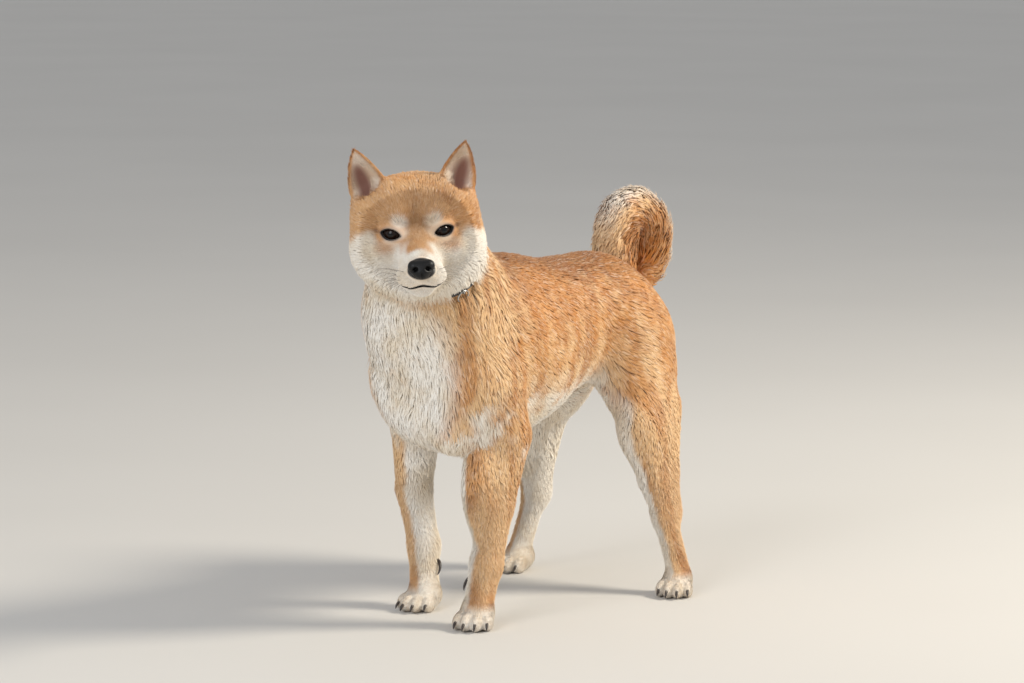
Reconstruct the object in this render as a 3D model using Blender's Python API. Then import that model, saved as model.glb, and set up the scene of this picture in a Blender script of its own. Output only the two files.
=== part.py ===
"""A young red shiba inu standing, at life size, in named parts. Blender 4.5, metres, +Z up, front to -Y."""

import math

import bmesh
import bpy
import numpy as np
import openvdb
from mathutils import Matrix, Vector

# Driving sizes, in metres. The dog's own left is +X, and the floor is at z = 0.
GAP = 0.0003  # room between parts that touch
WITHERS = 0.366  # floor to the coat over the shoulders
BACK = 0.356  # floor to the coat over the loin
BRISKET = 0.174  # floor to the lowest point of the chest
BELLY = 0.216  # floor to the tuck of the belly
CHEST_FRONT = -0.058
RUMP = 0.320
CHEST_HALF_WIDTH = 0.074
LOIN_HALF_WIDTH = 0.058
HIP_HALF_WIDTH = 0.061
EYE_APART = 0.0230  # from the middle of the face to the middle of an eye
EYE_RADIUS = 0.0100
LID = 0.0020  # thickness of an eyelid
EYE_SLIT = (0.0108, 0.0060)  # half the width and half the height of the opening between the lids
HEAD_HALF_WIDTH = 0.0665
NOSE = (0.0133, 0.0100, 0.0098)  # half sizes of the nose pad
EAR_HEIGHT = 0.050
EAR_HALF_WIDTH = 0.0205
EAR_FOOT = 0.013  # from the middle of the ear's root to its cut
EAR_WALL = 0.0021  # half the thickness of the flap
TAIL_RADIUS = 0.0206  # half the thickness of the brush at its root and tip
TAIL_SWELL = 0.32  # how much thicker the brush is half way along
TAIL_CURL = (0.0235, 0.0385)  # half the length and half the height of the curl, along the middle of the tail
TAIL_TURN = (-60, 262)  # degrees round the curl at the tail's root, and from there to its end
TAIL_CORE = 0.5  # thickness of the core against that of the brush
LOCKS = 32
LOCK_REACH = 0.042  # how far a lock runs along the tail
LOCK_HALF_WIDTH = 0.0100
LOCK_HALF_DEPTH = 0.0021
# How far along a lock each of its rings lies, and how far out from the middle of the tail
LOCK_RISE = ((0, 0.30), (0.28, 0.74), (0.62, 0.96), (1.0, 1.02))
LOCK_SEED = 5
GOLDEN_TURN = math.radians(137.5)  # from one lock to the next, so that they spread evenly round the tail
COLLAR_WIDTH = 0.009
COLLAR_DEPTH = 0.0022
COLLAR_SUNK = 0.0010  # how far the strap lies below the tips of the coat
RING_RADIUS = 0.0065
RING_EYE = 0.0026
RING_WIRE = 0.0009
RING_SLACK = 0.0006  # how far off the eye's middle the ring hangs
RING_TURN = 48  # degrees from the throat to the dog's left
# How far across and ahead of the pad each toe lies
TOES = ((-0.0145, 0.0085), (-0.0052, 0.0165), (0.0052, 0.0165), (0.0145, 0.0085))
TOE_SPREAD = 700  # degrees that a toe turns out for each metre across
HIND_PAW = 0.92  # width of a hind paw against a front one

# The middle of the whole model's box, which becomes the origin
MIDDLE = (0.0155, 0.099, 0.0)

LEG_INNER = 0.004  # from the middle of the body to the inner side of a leg's space
FAR = 1.0  # a distance that stands for nothing near
TINY = 1e-9
JOINT_BLEND = 0.006  # how softly the lengths of one limb run together

RED = (0.63, 0.31, 0.10, 1)
CREAM = (0.80, 0.70, 0.56, 1)
BLACK = (0.02, 0.018, 0.017, 1)
BROWN = (0.06, 0.03, 0.015, 1)
STRAP = (0.035, 0.035, 0.04, 1)
STEEL = (0.62, 0.62, 0.63, 1)


def turned(pitch, roll, yaw):
    """Axes rolled about the line of the nose, then pitched nose down, then yawed to the left, in degrees."""
    turns = (("Z", yaw), ("X", pitch), ("Y", roll))
    axes = np.eye(3)
    for axis, angle in turns:
        axes = axes @ np.array(Matrix.Rotation(math.radians(angle), 3, axis))
    return axes


class Place:
    """A spot in the model with its own axes: x to its left, y to its back and z up, as the dog's own."""

    def __init__(self, origin=(0, 0, 0), turn=(0, 0, 0), inside=None):
        self.origin = np.array(origin, float)
        self.axes = turned(*turn)
        if inside is not None:
            self.origin = inside.world(origin)
            self.axes = inside.axes @ self.axes

    def world(self, point):
        return self.origin + self.axes @ np.array(point, float)

    def local(self, x, y, z):
        away = (x - self.origin[0], y - self.origin[1], z - self.origin[2])
        return tuple(sum(self.axes[i, j] * away[i] for i in range(3)) for j in range(3))

    def matrix(self):
        made = Matrix(self.axes.tolist()).to_4x4()
        made.translation = Vector(self.origin)
        return made


BODY = Place()
HEAD = Place((0.024, -0.084, 0.4065), (2, -4, 39.5))
COLLAR = Place((0, 0.018, -0.043), (37, 0, 0), HEAD)
HEAD_CUT = COLLAR  # the seam of head and neck lies under the strap
TAIL = Place((0, 0.325, 0.348), (0, 0, -20))
NECK_CUT = Place((0, -0.030, 0.315), (42, 0, 0))
PAWS = {
    "front_left": Place((0.052, -0.024, 0), (0, 0, 22)),
    "front_right": Place((-0.049, 0.020, 0), (0, 0, 4)),
    "hind_left": Place((0.121, 0.234, 0), (0, 0, 24)),
    "hind_right": Place((-0.094, 0.246, 0), (0, 0, -4)),
}


def reach_of(place, low, high):
    """The lowest and highest corners of a box given in a place's own axes."""
    spans = list(zip(low, high))
    corners = [place.world((x, y, z)) for x in spans[0] for y in spans[1] for z in spans[2]]
    return np.min(corners, axis=0), np.max(corners, axis=0)


class Shape:
    """A soft volume: its distance function, its box, how far it blends, and whether it is cut away."""

    def __init__(self, distance, low, high, blend, carve=False):
        self.distance = distance
        self.low = np.array(low, float)
        self.high = np.array(high, float)
        self.blend = blend
        self.carve = carve


def soft_min(a, b, blend):
    near = np.maximum(blend - np.abs(a - b), 0) / blend
    return np.minimum(a, b) - near * near * blend / 4


def soft_max(a, b, blend):
    return -soft_min(-a, -b, blend)


def ball(centre, radii, turn=(0, 0, 0), blend=0.02, carve=False, inside=BODY):
    """An ellipsoid with its own three radii."""
    place = Place(centre, turn, inside)
    radii = np.array(radii, float)

    def distance(x, y, z):
        scaled = [c / r for c, r in zip(place.local(x, y, z), radii)]
        size = np.sqrt(sum(s * s for s in scaled))
        slope = np.sqrt(sum((s / r) ** 2 for s, r in zip(scaled, radii)))
        return size * (size - 1) / np.maximum(slope, TINY)

    reach = np.sqrt(((place.axes * radii) ** 2).sum(axis=1))
    return Shape(distance, place.origin - reach, place.origin + reach, blend, carve)


def limb(points, radii, squeeze=(1, 1, 1), blend=0.015, carve=False, inside=BODY):
    """Tapered lengths end to end, rounded where they meet, widened or thinned along each axis by squeeze."""
    squeeze = np.array(squeeze, float)
    knots = np.array(points, float) / squeeze
    lengths = list(zip(knots[:-1], knots[1:], radii[:-1], radii[1:]))

    def distance(x, y, z):
        at = [c / s for c, s in zip(inside.local(x, y, z), squeeze)]
        best = None
        for start, end, first, last in lengths:
            along = end - start
            off = [c - s for c, s in zip(at, start)]
            share = np.clip(sum(o * a for o, a in zip(off, along)) / (along @ along), 0, 1)
            away = np.sqrt(sum((o - share * a) ** 2 for o, a in zip(off, along)))
            away = away - (first + share * (last - first))
            best = away if best is None else soft_min(best, away, JOINT_BLEND)
        return best * squeeze.min()

    ends = np.array([inside.world(p) for p in points])
    reach = max(radii) * squeeze.max()
    return Shape(distance, ends.min(0) - reach, ends.max(0) + reach, blend, carve)


def both_sides(make):
    """The shapes that make(side) gives for the left side, 1, and the right side, -1."""
    return [shape for side in (1, -1) for shape in make(side)]


def torso_shapes():
    """Rib cage, shoulders, loin and croup, out to the tips of the coat."""

    def flank(side):
        return [
            ball((side * 0.043, -0.004, 0.252), (0.031, 0.046, 0.062), (-14, side * 6, 0), 0.024),
            ball((side * 0.034, 0.258, 0.282), (0.028, 0.047, 0.044), (16, 0, 0), 0.02),
        ]

    depth = (WITHERS - BRISKET) / 2
    return [
        ball((0, 0.085, BRISKET + depth - 0.004), (CHEST_HALF_WIDTH, 0.125, depth - 0.009), (3, 0, 0), 0.03),
        ball((0, 0.055, WITHERS - 0.037), (0.042, 0.080, 0.032), (4, 0, 0), 0.03),
        ball((0, CHEST_FRONT + 0.046, 0.246), (0.062, 0.042, 0.070), (-8, 0, 0), 0.026),
        ball((0, 0.036, BRISKET + 0.038), (0.046, 0.075, 0.035), (0, 0, 0), 0.026),
        ball((0, 0.195, BACK - 0.068), (LOIN_HALF_WIDTH, 0.105, 0.064), (0, 0, 0), 0.03),
        ball((0, 0.185, BELLY + 0.040), (0.046, 0.075, 0.038), (6, 0, 0), 0.02),
        ball((0, RUMP - 0.066, BACK - 0.072), (HIP_HALF_WIDTH, 0.060, 0.064), (-14, 0, 0), 0.026),
        ball((0.028, -0.026, 0.198), (0.023, 0.028, 0.024), blend=0.014),
        limb([(0, 0.236, 0.222), (0, 0.206, 0.212)], [0.011, 0.007], blend=0.012),
    ] + both_sides(flank)


def neck_shapes():
    return [
        limb(
            [(0, 0.040, 0.286), (0.000, -0.020, 0.328), (0.016, -0.058, 0.378)],
            [0.072, 0.070, 0.054],
            blend=0.018,
        ),
        ball((-0.002, -0.036, 0.300), (0.062, 0.036, 0.054), (-14, 0, 5), 0.026),
    ]


def eye_place(side):
    """The middle of an eyeball, its slit rising outwards."""
    return Place((side * EYE_APART, -0.0330, 0), (-4, side * -12, side * 20), HEAD)


def eyelids(side):
    """A thickening round the eyeball, opened between an upper and a lower arc."""
    place = eye_place(side)
    lid = EYE_RADIUS + LID
    half_width, half_height = EYE_SLIT
    radius = (half_width**2 + half_height**2) / (2 * half_height)
    sunk = radius - half_height

    def slit(x, y, z):
        x, y, z = place.local(x, y, z)
        upper = np.sqrt(x**2 + (z + sunk) ** 2) - radius
        lower = np.sqrt(x**2 + (z - sunk) ** 2) - radius
        return np.maximum(np.maximum(upper, lower), y + 0.002)

    reach = 2 * EYE_RADIUS
    return [
        ball((0, 0, 0), (lid, lid, lid), blend=0.009, inside=place),
        Shape(slit, place.origin - reach, place.origin + reach, 0.0016, True),
    ]


def ear_place(side):
    """The middle of an ear's foot, its z towards the tip and its hollow towards -y."""
    return Place((side * 0.0400, 0.010, 0.034), (8, side * 17, side * 14), HEAD)


def ear_shapes(side):
    """A triangular flap with a soft tip, its edges brought forward round a hollow deepest at the foot."""
    place = ear_place(side)
    foot = 0.020

    def distance(x, y, z):
        x, y, z = place.local(x, y, z)
        share = np.clip(z / EAR_HEIGHT, -0.3, 1.0)
        half_width = EAR_HALF_WIDTH * (1 - np.maximum(share, 0) ** 1.7) ** 0.85 + 0.0012
        hollow = 0.010 * (1 - 0.7 * share)
        across = np.minimum(np.abs(x) / half_width, 1.5)
        middle = hollow * (0.6 - across**2)
        sheet = np.abs(y - middle) - EAR_WALL * (1.5 - 0.7 * share)
        ends = np.maximum(z - EAR_HEIGHT, -z - foot)
        return soft_max(soft_max(sheet, np.abs(x) - half_width, 0.003), ends, 0.003)

    reach = EAR_HEIGHT + 0.012
    flap = Shape(distance, place.origin - reach, place.origin + reach, 0.006)
    cup = ball((0, -0.0105, 0.0175), (0.0145, 0.0140, 0.0225), (-4, 0, 0), 0.003, True, place)
    return [flap, cup]


def mouth():
    """The slit between the lips: round the front of the muzzle, rising to the corners."""
    half_width, length, back = 0.0285, 0.047, -0.050
    depth, half_gap = 0.0048, 0.0012

    def distance(x, y, z):
        x, y, z = HEAD.local(x, y, z)
        ahead = np.minimum(y - back, 0)
        round_front = (np.sqrt((x / half_width) ** 2 + (ahead / length) ** 2) - 1) * half_width
        dip = 0.0015 * np.cos(x / 0.0045) * (np.abs(x) < 0.014)
        level = dip - 0.0375 - 0.0080 * np.minimum(-ahead / 0.040, 1)
        gap = np.abs(z - level) - half_gap
        return np.maximum(np.maximum(gap, np.abs(round_front) - depth), y - back)

    low, high = reach_of(HEAD, (-0.034, -0.105, -0.054), (0.034, -0.045, -0.030))
    return Shape(distance, low, high, 0.0012, True)


def head_shapes():
    """Skull, cheeks, brows, muzzle and jaw, set by the eye line and the middle of the face."""

    def lump(centre, radii, yaw, blend):
        return ball(centre, radii, (0, 0, yaw), blend, inside=HEAD)

    def length(start, end, radii, squeeze, blend):
        return limb([start, end], radii, squeeze, blend, inside=HEAD)

    def half(side):
        cheek = 0.033
        return [
            lump((side * (HEAD_HALF_WIDTH - cheek), 0.004, -0.020), (cheek, 0.038, 0.034), 0, 0.020),
            lump((side * 0.0340, 0.006, 0.018), (0.025, 0.032, 0.025), 0, 0.020),
            lump((side * 0.0175, -0.030, 0.0145), (0.0130, 0.011, 0.0085), side * 12, 0.012),
            lump((side * 0.0270, -0.036, -0.0190), (0.0150, 0.014, 0.0110), side * 30, 0.014),
            lump((side * 0.0115, -0.078, -0.0370), (0.0130, 0.019, 0.0110), side * -8, 0.007),
            *eyelids(side),
        ]

    skull = lump((0, 0.014, 0.010), (0.055, 0.052, 0.043), 0, 0.020)
    throat = lump((0, -0.004, -0.041), (0.045, 0.040, 0.031), 0, 0.014)
    muzzle = length((0, -0.028, -0.021), (0, -0.085, -0.0315), (0.0285, 0.0155), (1.05, 1, 0.92), 0.012)
    bridge = length((0, -0.030, -0.006), (0, -0.087, -0.0215), (0.0125, 0.0085), (1.1, 1, 1), 0.010)
    jaw = length((0, -0.020, -0.046), (0, -0.078, -0.0490), (0.0190, 0.0090), (1.25, 1, 0.95), 0.007)
    return [skull, throat, muzzle, bridge, jaw] + both_sides(half) + [mouth()]


def paw_shapes(name):
    """Four toes over a pad, spread from one place on the floor."""
    place = PAWS[name]
    scale = HIND_PAW if name.startswith("hind") else 1.0
    shapes = [ball((0, 0.004, 0.012), (0.0180 * scale, 0.021, 0.0145), (10, 0, 0), 0.008, inside=place)]
    for across, ahead in TOES:
        toe = (0.0066 * scale, 0.0125, 0.0096)
        turn = (12, 0, across * TOE_SPREAD)
        shapes.append(ball((across * scale, -ahead, 0.0082), toe, turn, 0.003, inside=place))
    return shapes


def front_leg_shapes(name):
    """Upper arm, forearm, wrist and pastern down to the paw."""
    side = 1 if name.endswith("left") else -1
    foot = PAWS[name].origin
    out = 0.055 if side > 0 else 0.069
    elbow = np.array((side * out, 0.030 + foot[1] * 0.35, 0.190))
    wrist = np.array((foot[0] + (0 if side > 0 else -0.011), foot[1] + 0.018, 0.062))
    bow = (0.001 if side > 0 else -0.008, 0, 0)
    low = elbow * 0.45 + wrist * 0.55 + bow
    inner_fur = [ball((0.046, -0.006, 0.140), (0.018, 0.024, 0.050), blend=0.014)] if side > 0 else []
    path = [(side * 0.050, -0.004, 0.245), elbow, low, wrist]
    return [
        limb(path, [0.032, 0.0260, 0.0190, 0.0165], (0.95, 1.05, 1), 0.02),
        limb([wrist, (foot[0], foot[1] + 0.004, 0.022)], [0.0155, 0.0150], (1.05, 1, 1), 0.010),
        ball((wrist[0], wrist[1] + 0.013, 0.050), (0.006, 0.005, 0.007), blend=0.006),
    ] + inner_fur + paw_shapes(name)


def hind_leg_shapes(name):
    """Thigh, second thigh, hock and rear pastern down to the paw."""
    side = 1 if name.endswith("left") else -1
    foot = PAWS[name].origin
    hock = np.array((0.098, 0.247, 0.079) if side > 0 else (-0.084, 0.267, 0.079))
    knee = np.array((side * 0.076, 0.240 if side > 0 else 0.234, 0.170))
    return [
        ball((side * 0.046, 0.265, 0.232), (0.032, 0.051, 0.066), (20, side * -10, 0), 0.024),
        limb([(side * 0.044, 0.274, 0.260), knee], [0.042, 0.027], (0.75, 1, 1), 0.024),
        limb([knee, knee * 0.45 + hock * 0.55, hock], [0.0265, 0.0195, 0.0135], (0.85, 1.1, 1), 0.018),
        ball(hock + np.array((0, 0.008, 0.003)), (0.0085, 0.0095, 0.013), blend=0.010),
        limb([hock + np.array((0, 0.010, 0.006)), (side * 0.070, 0.286, 0.185)], [0.0070, 0.017], blend=0.02),
        limb([hock, (foot[0], foot[1] + 0.006, 0.022)], [0.0130, 0.0125], (0.95, 1.1, 1), 0.010),
    ] + paw_shapes(name)


def tail_middle(share):
    """A point along the middle of the tail: up from the croup and once round over the back."""
    turn = math.radians(TAIL_TURN[0] + TAIL_TURN[1] * share)
    return TAIL.world((0.004 * share, TAIL_CURL[0] * math.cos(turn), TAIL_CURL[1] * math.sin(turn)))


def tail_radius(share):
    """Half the thickness of the brush, out to the tips of the coat."""
    return TAIL_RADIUS * (1 + TAIL_SWELL * math.sin(math.pi * min(max(share, 0), 1)) ** 2)


def tail_shapes():
    """The core that carries the locks."""
    shares = np.linspace(0, 1, 10)
    points = [tail_middle(share) for share in shares]
    return [limb(points, [TAIL_CORE * tail_radius(share) for share in shares], blend=0.012)]


def joined(field, shape, near):
    """The field with one more shape blended in or cut away, where near is the distance to that shape."""
    if shape.carve:
        return soft_max(field, -near, shape.blend)
    return soft_min(field, near, shape.blend)


def field_of(shapes, low, counts, step):
    """How far each point of a grid lies outside the joined shapes, less than nothing inside them."""
    axes = [low[i] + step * np.arange(counts[i]) for i in range(3)]
    field = np.full(counts, FAR)
    for shape in shapes:
        room = shape.blend + 2 * step
        first = np.maximum(np.floor((shape.low - room - low) / step).astype(int), 0)
        last = np.minimum(np.ceil((shape.high + room - low) / step).astype(int) + 1, counts)
        if (first >= last).any():
            continue
        here = tuple(slice(a, b) for a, b in zip(first, last))
        spots = np.meshgrid(*(axis[h] for axis, h in zip(axes, here)), indexing="ij", sparse=True)
        field[here] = joined(field[here], shape, shape.distance(*spots))
    return field


def new_object(name, mesh):
    made = bpy.data.objects.new(name, mesh)
    bpy.context.scene.collection.objects.link(made)
    return made


def surface(name, shapes, low, high, step, triangles=None, grow=0.0):
    """The closed surface of the joined shapes, thinned to about so many triangles."""
    low, high = np.array(low, float) - 3 * step, np.array(high, float) + 3 * step
    counts = np.ceil((high - low) / step).astype(int) + 1
    band = 3 * step
    field = np.clip(field_of(shapes, low, counts, step) - grow, -band, band)
    grid = openvdb.FloatGrid(band)
    grid.copyFromArray(field.astype(np.float32))
    points, quads = grid.convertToQuads(0.0)
    points = low + points * step
    first, second, third, fourth = (points[quads[:, k]] for k in range(4))
    volume = np.einsum("ij,ij->", np.cross(third - first, fourth - second), first)
    if volume < 0:
        quads = quads[:, ::-1]
    mesh = bpy.data.meshes.new(name)
    mesh.from_pydata(points.tolist(), [], quads.tolist())
    made = new_object(name, mesh)
    if triangles:
        thin = made.modifiers.new("thin", "DECIMATE")
        thin.ratio = min(1.0, triangles / (2 * len(quads)))
        apply_modifiers(made)
    return made


def apply_modifiers(piece):
    graph = bpy.context.evaluated_depsgraph_get()
    done = bpy.data.meshes.new_from_object(piece.evaluated_get(graph))
    piece.modifiers.clear()
    old, piece.data = piece.data, done
    bpy.data.meshes.remove(old)


def remove(piece):
    mesh = piece.data
    bpy.data.objects.remove(piece)
    bpy.data.meshes.remove(mesh)


def keep_largest(piece):
    """Drops every closed surface of the piece but the one with the most faces."""
    bm = bmesh.new()
    bm.from_mesh(piece.data)
    unseen = set(bm.faces)
    groups = []
    while unseen:
        group, open_faces = set(), [next(iter(unseen))]
        while open_faces:
            face = open_faces.pop()
            if face in group:
                continue
            group.add(face)
            open_faces.extend(f for edge in face.edges for f in edge.link_faces if f not in group)
        groups.append(group)
        unseen -= group
    largest = max(groups, key=len)
    bmesh.ops.delete(bm, geom=[f for f in bm.faces if f not in largest], context="FACES")
    bm.to_mesh(piece.data)
    bm.free()


def cut(piece, cutter, operation="DIFFERENCE"):
    """Takes the cutter's volume from the piece, or keeps only what is inside it, and removes the cutter."""
    change = piece.modifiers.new("cut", "BOOLEAN")
    change.operation = operation
    change.object = cutter
    apply_modifiers(piece)
    remove(cutter)
    keep_largest(piece)


def fuse(piece, extras, solver="EXACT"):
    """Joins closed extras to the piece by one union, and keeps its largest closed surface."""
    group = bpy.data.collections.new("extras")
    for extra in extras:
        bpy.context.scene.collection.objects.unlink(extra)
        group.objects.link(extra)
    bpy.context.scene.collection.children.link(group)
    join = piece.modifiers.new("join", "BOOLEAN")
    join.operation = "UNION"
    join.operand_type = "COLLECTION"
    join.solver = solver
    join.collection = group
    apply_modifiers(piece)
    for extra in extras:
        remove(extra)
    bpy.data.collections.remove(group)
    keep_largest(piece)


def spike(points, radii, sides=6):
    """A closed tapered form through the points, of round section, ending in a point."""
    points = [Vector(p) for p in points]
    bm = bmesh.new()
    rings = []
    for k, (point, radius) in enumerate(zip(points[:-1], radii)):
        after, before = points[k + 1], points[max(k - 1, 0)]
        turn = (after - before).to_track_quat("Z", "Y").to_matrix()
        angles = [2 * math.pi * n / sides for n in range(sides)]
        spots = [Vector((math.cos(a) * radius, math.sin(a) * radius, 0)) for a in angles]
        rings.append([bm.verts.new(point + turn @ spot) for spot in spots])
    tip = bm.verts.new(points[-1])
    bm.faces.new(rings[0])
    for ring, after in zip(rings, rings[1:]):
        for k in range(sides):
            n = (k + 1) % sides
            bm.faces.new((ring[k], ring[n], after[n], after[k]))
    for k in range(sides):
        bm.faces.new((rings[-1][k], rings[-1][(k + 1) % sides], tip))
    bmesh.ops.recalc_face_normals(bm, faces=bm.faces[:])
    mesh = bpy.data.meshes.new("spike")
    bm.to_mesh(mesh)
    bm.free()
    return new_object("spike", mesh)


def lock(points, across, widths, depths):
    """A closed flat form of lens section through the points, ending in a point."""
    bm = bmesh.new()
    rings = []
    for k, (point, wide, deep) in enumerate(zip(points[:-1], widths, depths)):
        along = points[k + 1] - points[max(k - 1, 0)]
        side = across - along * (across @ along) / (along @ along)
        side = side / np.linalg.norm(side)
        up = np.cross(side, along / np.linalg.norm(along))
        spots = (side * wide, up * deep, -side * wide, -up * deep)
        rings.append([bm.verts.new(point + spot) for spot in spots])
    tip = bm.verts.new(points[-1])
    bm.faces.new(rings[0])
    for ring, after in zip(rings, rings[1:]):
        for k in range(4):
            n = (k + 1) % 4
            bm.faces.new((ring[k], ring[n], after[n], after[k]))
    for k in range(4):
        bm.faces.new((rings[-1][k], rings[-1][(k + 1) % 4], tip))
    bmesh.ops.recalc_face_normals(bm, faces=bm.faces[:])
    mesh = bpy.data.meshes.new("lock")
    bm.to_mesh(mesh)
    bm.free()
    return new_object("lock", mesh)


def tail_locks():
    """Flat tapered locks that grow from the core, lie along the tail and rise to the brush's edge."""
    random = np.random.default_rng(LOCK_SEED)
    length = math.radians(TAIL_TURN[1]) * sum(TAIL_CURL) / 2
    made = []
    for k in range(LOCKS):
        share = (k + 0.5) / LOCKS
        angle = k * GOLDEN_TURN
        inward = max(0.0, -math.cos(angle))
        run = LOCK_REACH / length * random.uniform(0.85, 1.1) * (1 - 0.45 * inward)
        points = []
        for step, rise in LOCK_RISE:
            at = share - 0.3 * run + step * run
            along = tail_middle(at + 0.01) - tail_middle(at - 0.01)
            along = along / np.linalg.norm(along)
            out = np.cross(TAIL.axes[:, 0], along)
            around = math.cos(angle) * out + math.sin(angle) * np.cross(along, out)
            points.append(tail_middle(at) + around * rise * tail_radius(at) * (1 - 0.25 * inward))
        across = np.cross(around, along)
        size = random.uniform(0.9, 1.1)
        widths = [LOCK_HALF_WIDTH * size * part for part in (0.8, 1.0, 0.72)]
        depths = [LOCK_HALF_DEPTH * part for part in (1.2, 1.1, 0.8)]
        made.append(lock(points, across, widths, depths))
    return made


def slice_off(piece, place, keep_above=True, room=GAP / 2):
    """Cuts the piece at the place's own floor and closes the cut, keeping what is above or below it."""
    side = 1 if keep_above else -1
    normal = Vector(place.axes[:, 2]) * side
    bm = bmesh.new()
    bm.from_mesh(piece.data)
    bmesh.ops.bisect_plane(
        bm,
        geom=bm.verts[:] + bm.edges[:] + bm.faces[:],
        plane_co=Vector(place.origin) + normal * room,
        plane_no=-normal,
        clear_outer=True,
    )
    rim = [edge for edge in bm.edges if edge.is_boundary]
    bmesh.ops.holes_fill(bm, edges=rim, sides=0)
    bmesh.ops.recalc_face_normals(bm, faces=bm.faces[:])
    bm.to_mesh(piece.data)
    bm.free()
    keep_largest(piece)


def block(place, low, high):
    """A closed box between two corners given in the place's own axes."""
    bm = bmesh.new()
    bmesh.ops.create_cube(bm, size=1)
    for vertex in bm.verts:
        share = [c + 0.5 for c in vertex.co]
        vertex.co = [a + (b - a) * s for a, b, s in zip(low, high, share)]
    bmesh.ops.transform(bm, matrix=place.matrix(), verts=bm.verts[:])
    mesh = bpy.data.meshes.new("block")
    bm.to_mesh(mesh)
    bm.free()
    return new_object("block", mesh)


def copied(piece):
    return new_object("copy", piece.data.copy())


def grown(piece, by):
    """A copy of the piece, larger all over by a small distance."""
    made = copied(piece)
    bm = bmesh.new()
    bm.from_mesh(made.data)
    bm.normal_update()
    moves = [(v, v.normal * by * max(1.0, min(v.calc_shell_factor(), 2.0))) for v in bm.verts]
    for vertex, move in moves:
        vertex.co += move
    bm.to_mesh(made.data)
    bm.free()
    return made


def finish(piece, name, colour, roughness=0.8, metallic=0.0):
    """Names the piece, moves its origin to the middle of the model, and gives it its material."""
    piece.name = name
    piece.data.name = name
    piece.data.transform(Matrix.Translation(-Vector(MIDDLE)))
    piece.data.shade_smooth()
    piece.data.set_sharp_from_angle(angle=math.radians(50))
    material = bpy.data.materials.get(name) or bpy.data.materials.new(name)
    material.use_nodes = True
    shader = material.node_tree.nodes["Principled BSDF"]
    shader.inputs["Base Color"].default_value = colour
    shader.inputs["Roughness"].default_value = roughness
    shader.inputs["Metallic"].default_value = metallic
    piece.data.materials.clear()
    piece.data.materials.append(material)
    return piece


def flesh_shapes():
    """Everything of one skin but the ears and the tail."""
    shapes = torso_shapes() + neck_shapes()
    for name in PAWS:
        shapes += front_leg_shapes(name) if name.startswith("front") else hind_leg_shapes(name)
    return shapes + head_shapes()


def leg_block(name, room):
    """The space of one leg, under a plane that rises from the armpit or groin to the outside of the body."""
    side = 1 if name.endswith("left") else -1
    if name.startswith("front"):
        armpit, rise, front, back = 0.162, 0.96, -0.078, 0.072
    else:
        armpit, rise, front, back = 0.180, 1.20, 0.190, 0.420
    lift = room * math.hypot(1, rise)
    inner, outer, deep = LEG_INNER - room, 0.16, -0.05
    outline = [
        (inner, deep),
        (outer, deep),
        (outer, armpit + rise * outer + lift),
        (inner, armpit + rise * inner + lift),
    ]
    bm = bmesh.new()
    near, far = ([bm.verts.new((side * x, y, z)) for x, z in outline] for y in (front - room, back + room))
    bm.faces.new(near)
    bm.faces.new(far)
    for k in range(4):
        n = (k + 1) % 4
        bm.faces.new((near[k], near[n], far[n], far[k]))
    bmesh.ops.recalc_face_normals(bm, faces=bm.faces[:])
    mesh = bpy.data.meshes.new("block")
    bm.to_mesh(mesh)
    bm.free()
    return new_object("block", mesh)


def claws(name):
    """A blunt claw on each toe, and on a front leg the dewclaw inside the wrist."""
    place = PAWS[name]
    scale = HIND_PAW if name.startswith("hind") else 1.0
    made = []
    for across, ahead in TOES:
        lean = math.sin(math.radians(across * TOE_SPREAD))
        path = [(0.0050, 0.0088), (0.0108, 0.0076), (0.0138, 0.0050), (0.0148, 0.0026)]
        points = [place.world((across * scale + lean * y, -ahead - y, z)) for y, z in path]
        made.append(spike(points, [0.0021, 0.0018, 0.0012]))
    if name.startswith("front"):
        inward = -1 if name.endswith("left") else 1
        path = [(0.0080, 0.017, 0.049), (0.0140, 0.014, 0.045), (0.0160, 0.010, 0.0395)]
        path.append((0.0152, 0.007, 0.0360))
        points = [place.world((inward * x, y, z)) for x, y, z in path]
        made.append(spike(points, [0.0040, 0.0030, 0.0014]))
    return made


def make_leg(name, shapes):
    side = 1 if name.endswith("left") else -1
    foot = PAWS[name].origin
    behind = 0.070 if name.startswith("front") else 0.105
    low = (min(0, side * 0.15), foot[1] - 0.06, -0.004)
    high = (max(0, side * 0.15), foot[1] + behind + 0.02, 0.30)
    leg = surface("leg", shapes, low, high, 0.0025, 1250)
    cut(leg, leg_block(name, -GAP / 2), "INTERSECT")
    fuse(leg, claws(name))
    slice_off(leg, BODY, room=0)
    return finish(leg, f"leg_{name}", RED)


def make_torso(shapes):
    torso = surface("torso", shapes, (-0.11, -0.10, 0.14), (0.11, 0.36, 0.40), 0.004, 2800)
    slice_off(torso, NECK_CUT, keep_above=False)
    for name in PAWS:
        cut(torso, leg_block(name, GAP / 2))
    return torso


def make_neck(shapes):
    neck = surface("neck", shapes, (-0.11, -0.15, 0.20), (0.11, 0.12, 0.46), 0.004, 2600)
    slice_off(neck, NECK_CUT)
    slice_off(neck, HEAD_CUT, keep_above=False)
    return neck


def ear_block(side, room):
    place = ear_place(side)
    return block(place, (-0.030, -0.024, EAR_FOOT - room), (0.030, 0.024, 0.07))


def make_head(shapes):
    """The head, and the two ears that are cut from the same surface."""
    low, high = reach_of(HEAD, (-0.072, -0.110, -0.085), (0.072, 0.080, 0.100))
    whole = surface("head", shapes + both_sides(ear_shapes), low, high, 0.0013, 4700)
    slice_off(whole, HEAD_CUT)
    for side, word in ((1, "left"), (-1, "right")):
        ear = copied(whole)
        cut(ear, ear_block(side, -GAP), "INTERSECT")
        finish(ear, f"ear_{word}", RED)
        cut(whole, ear_block(side, 0))
    return whole


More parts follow.
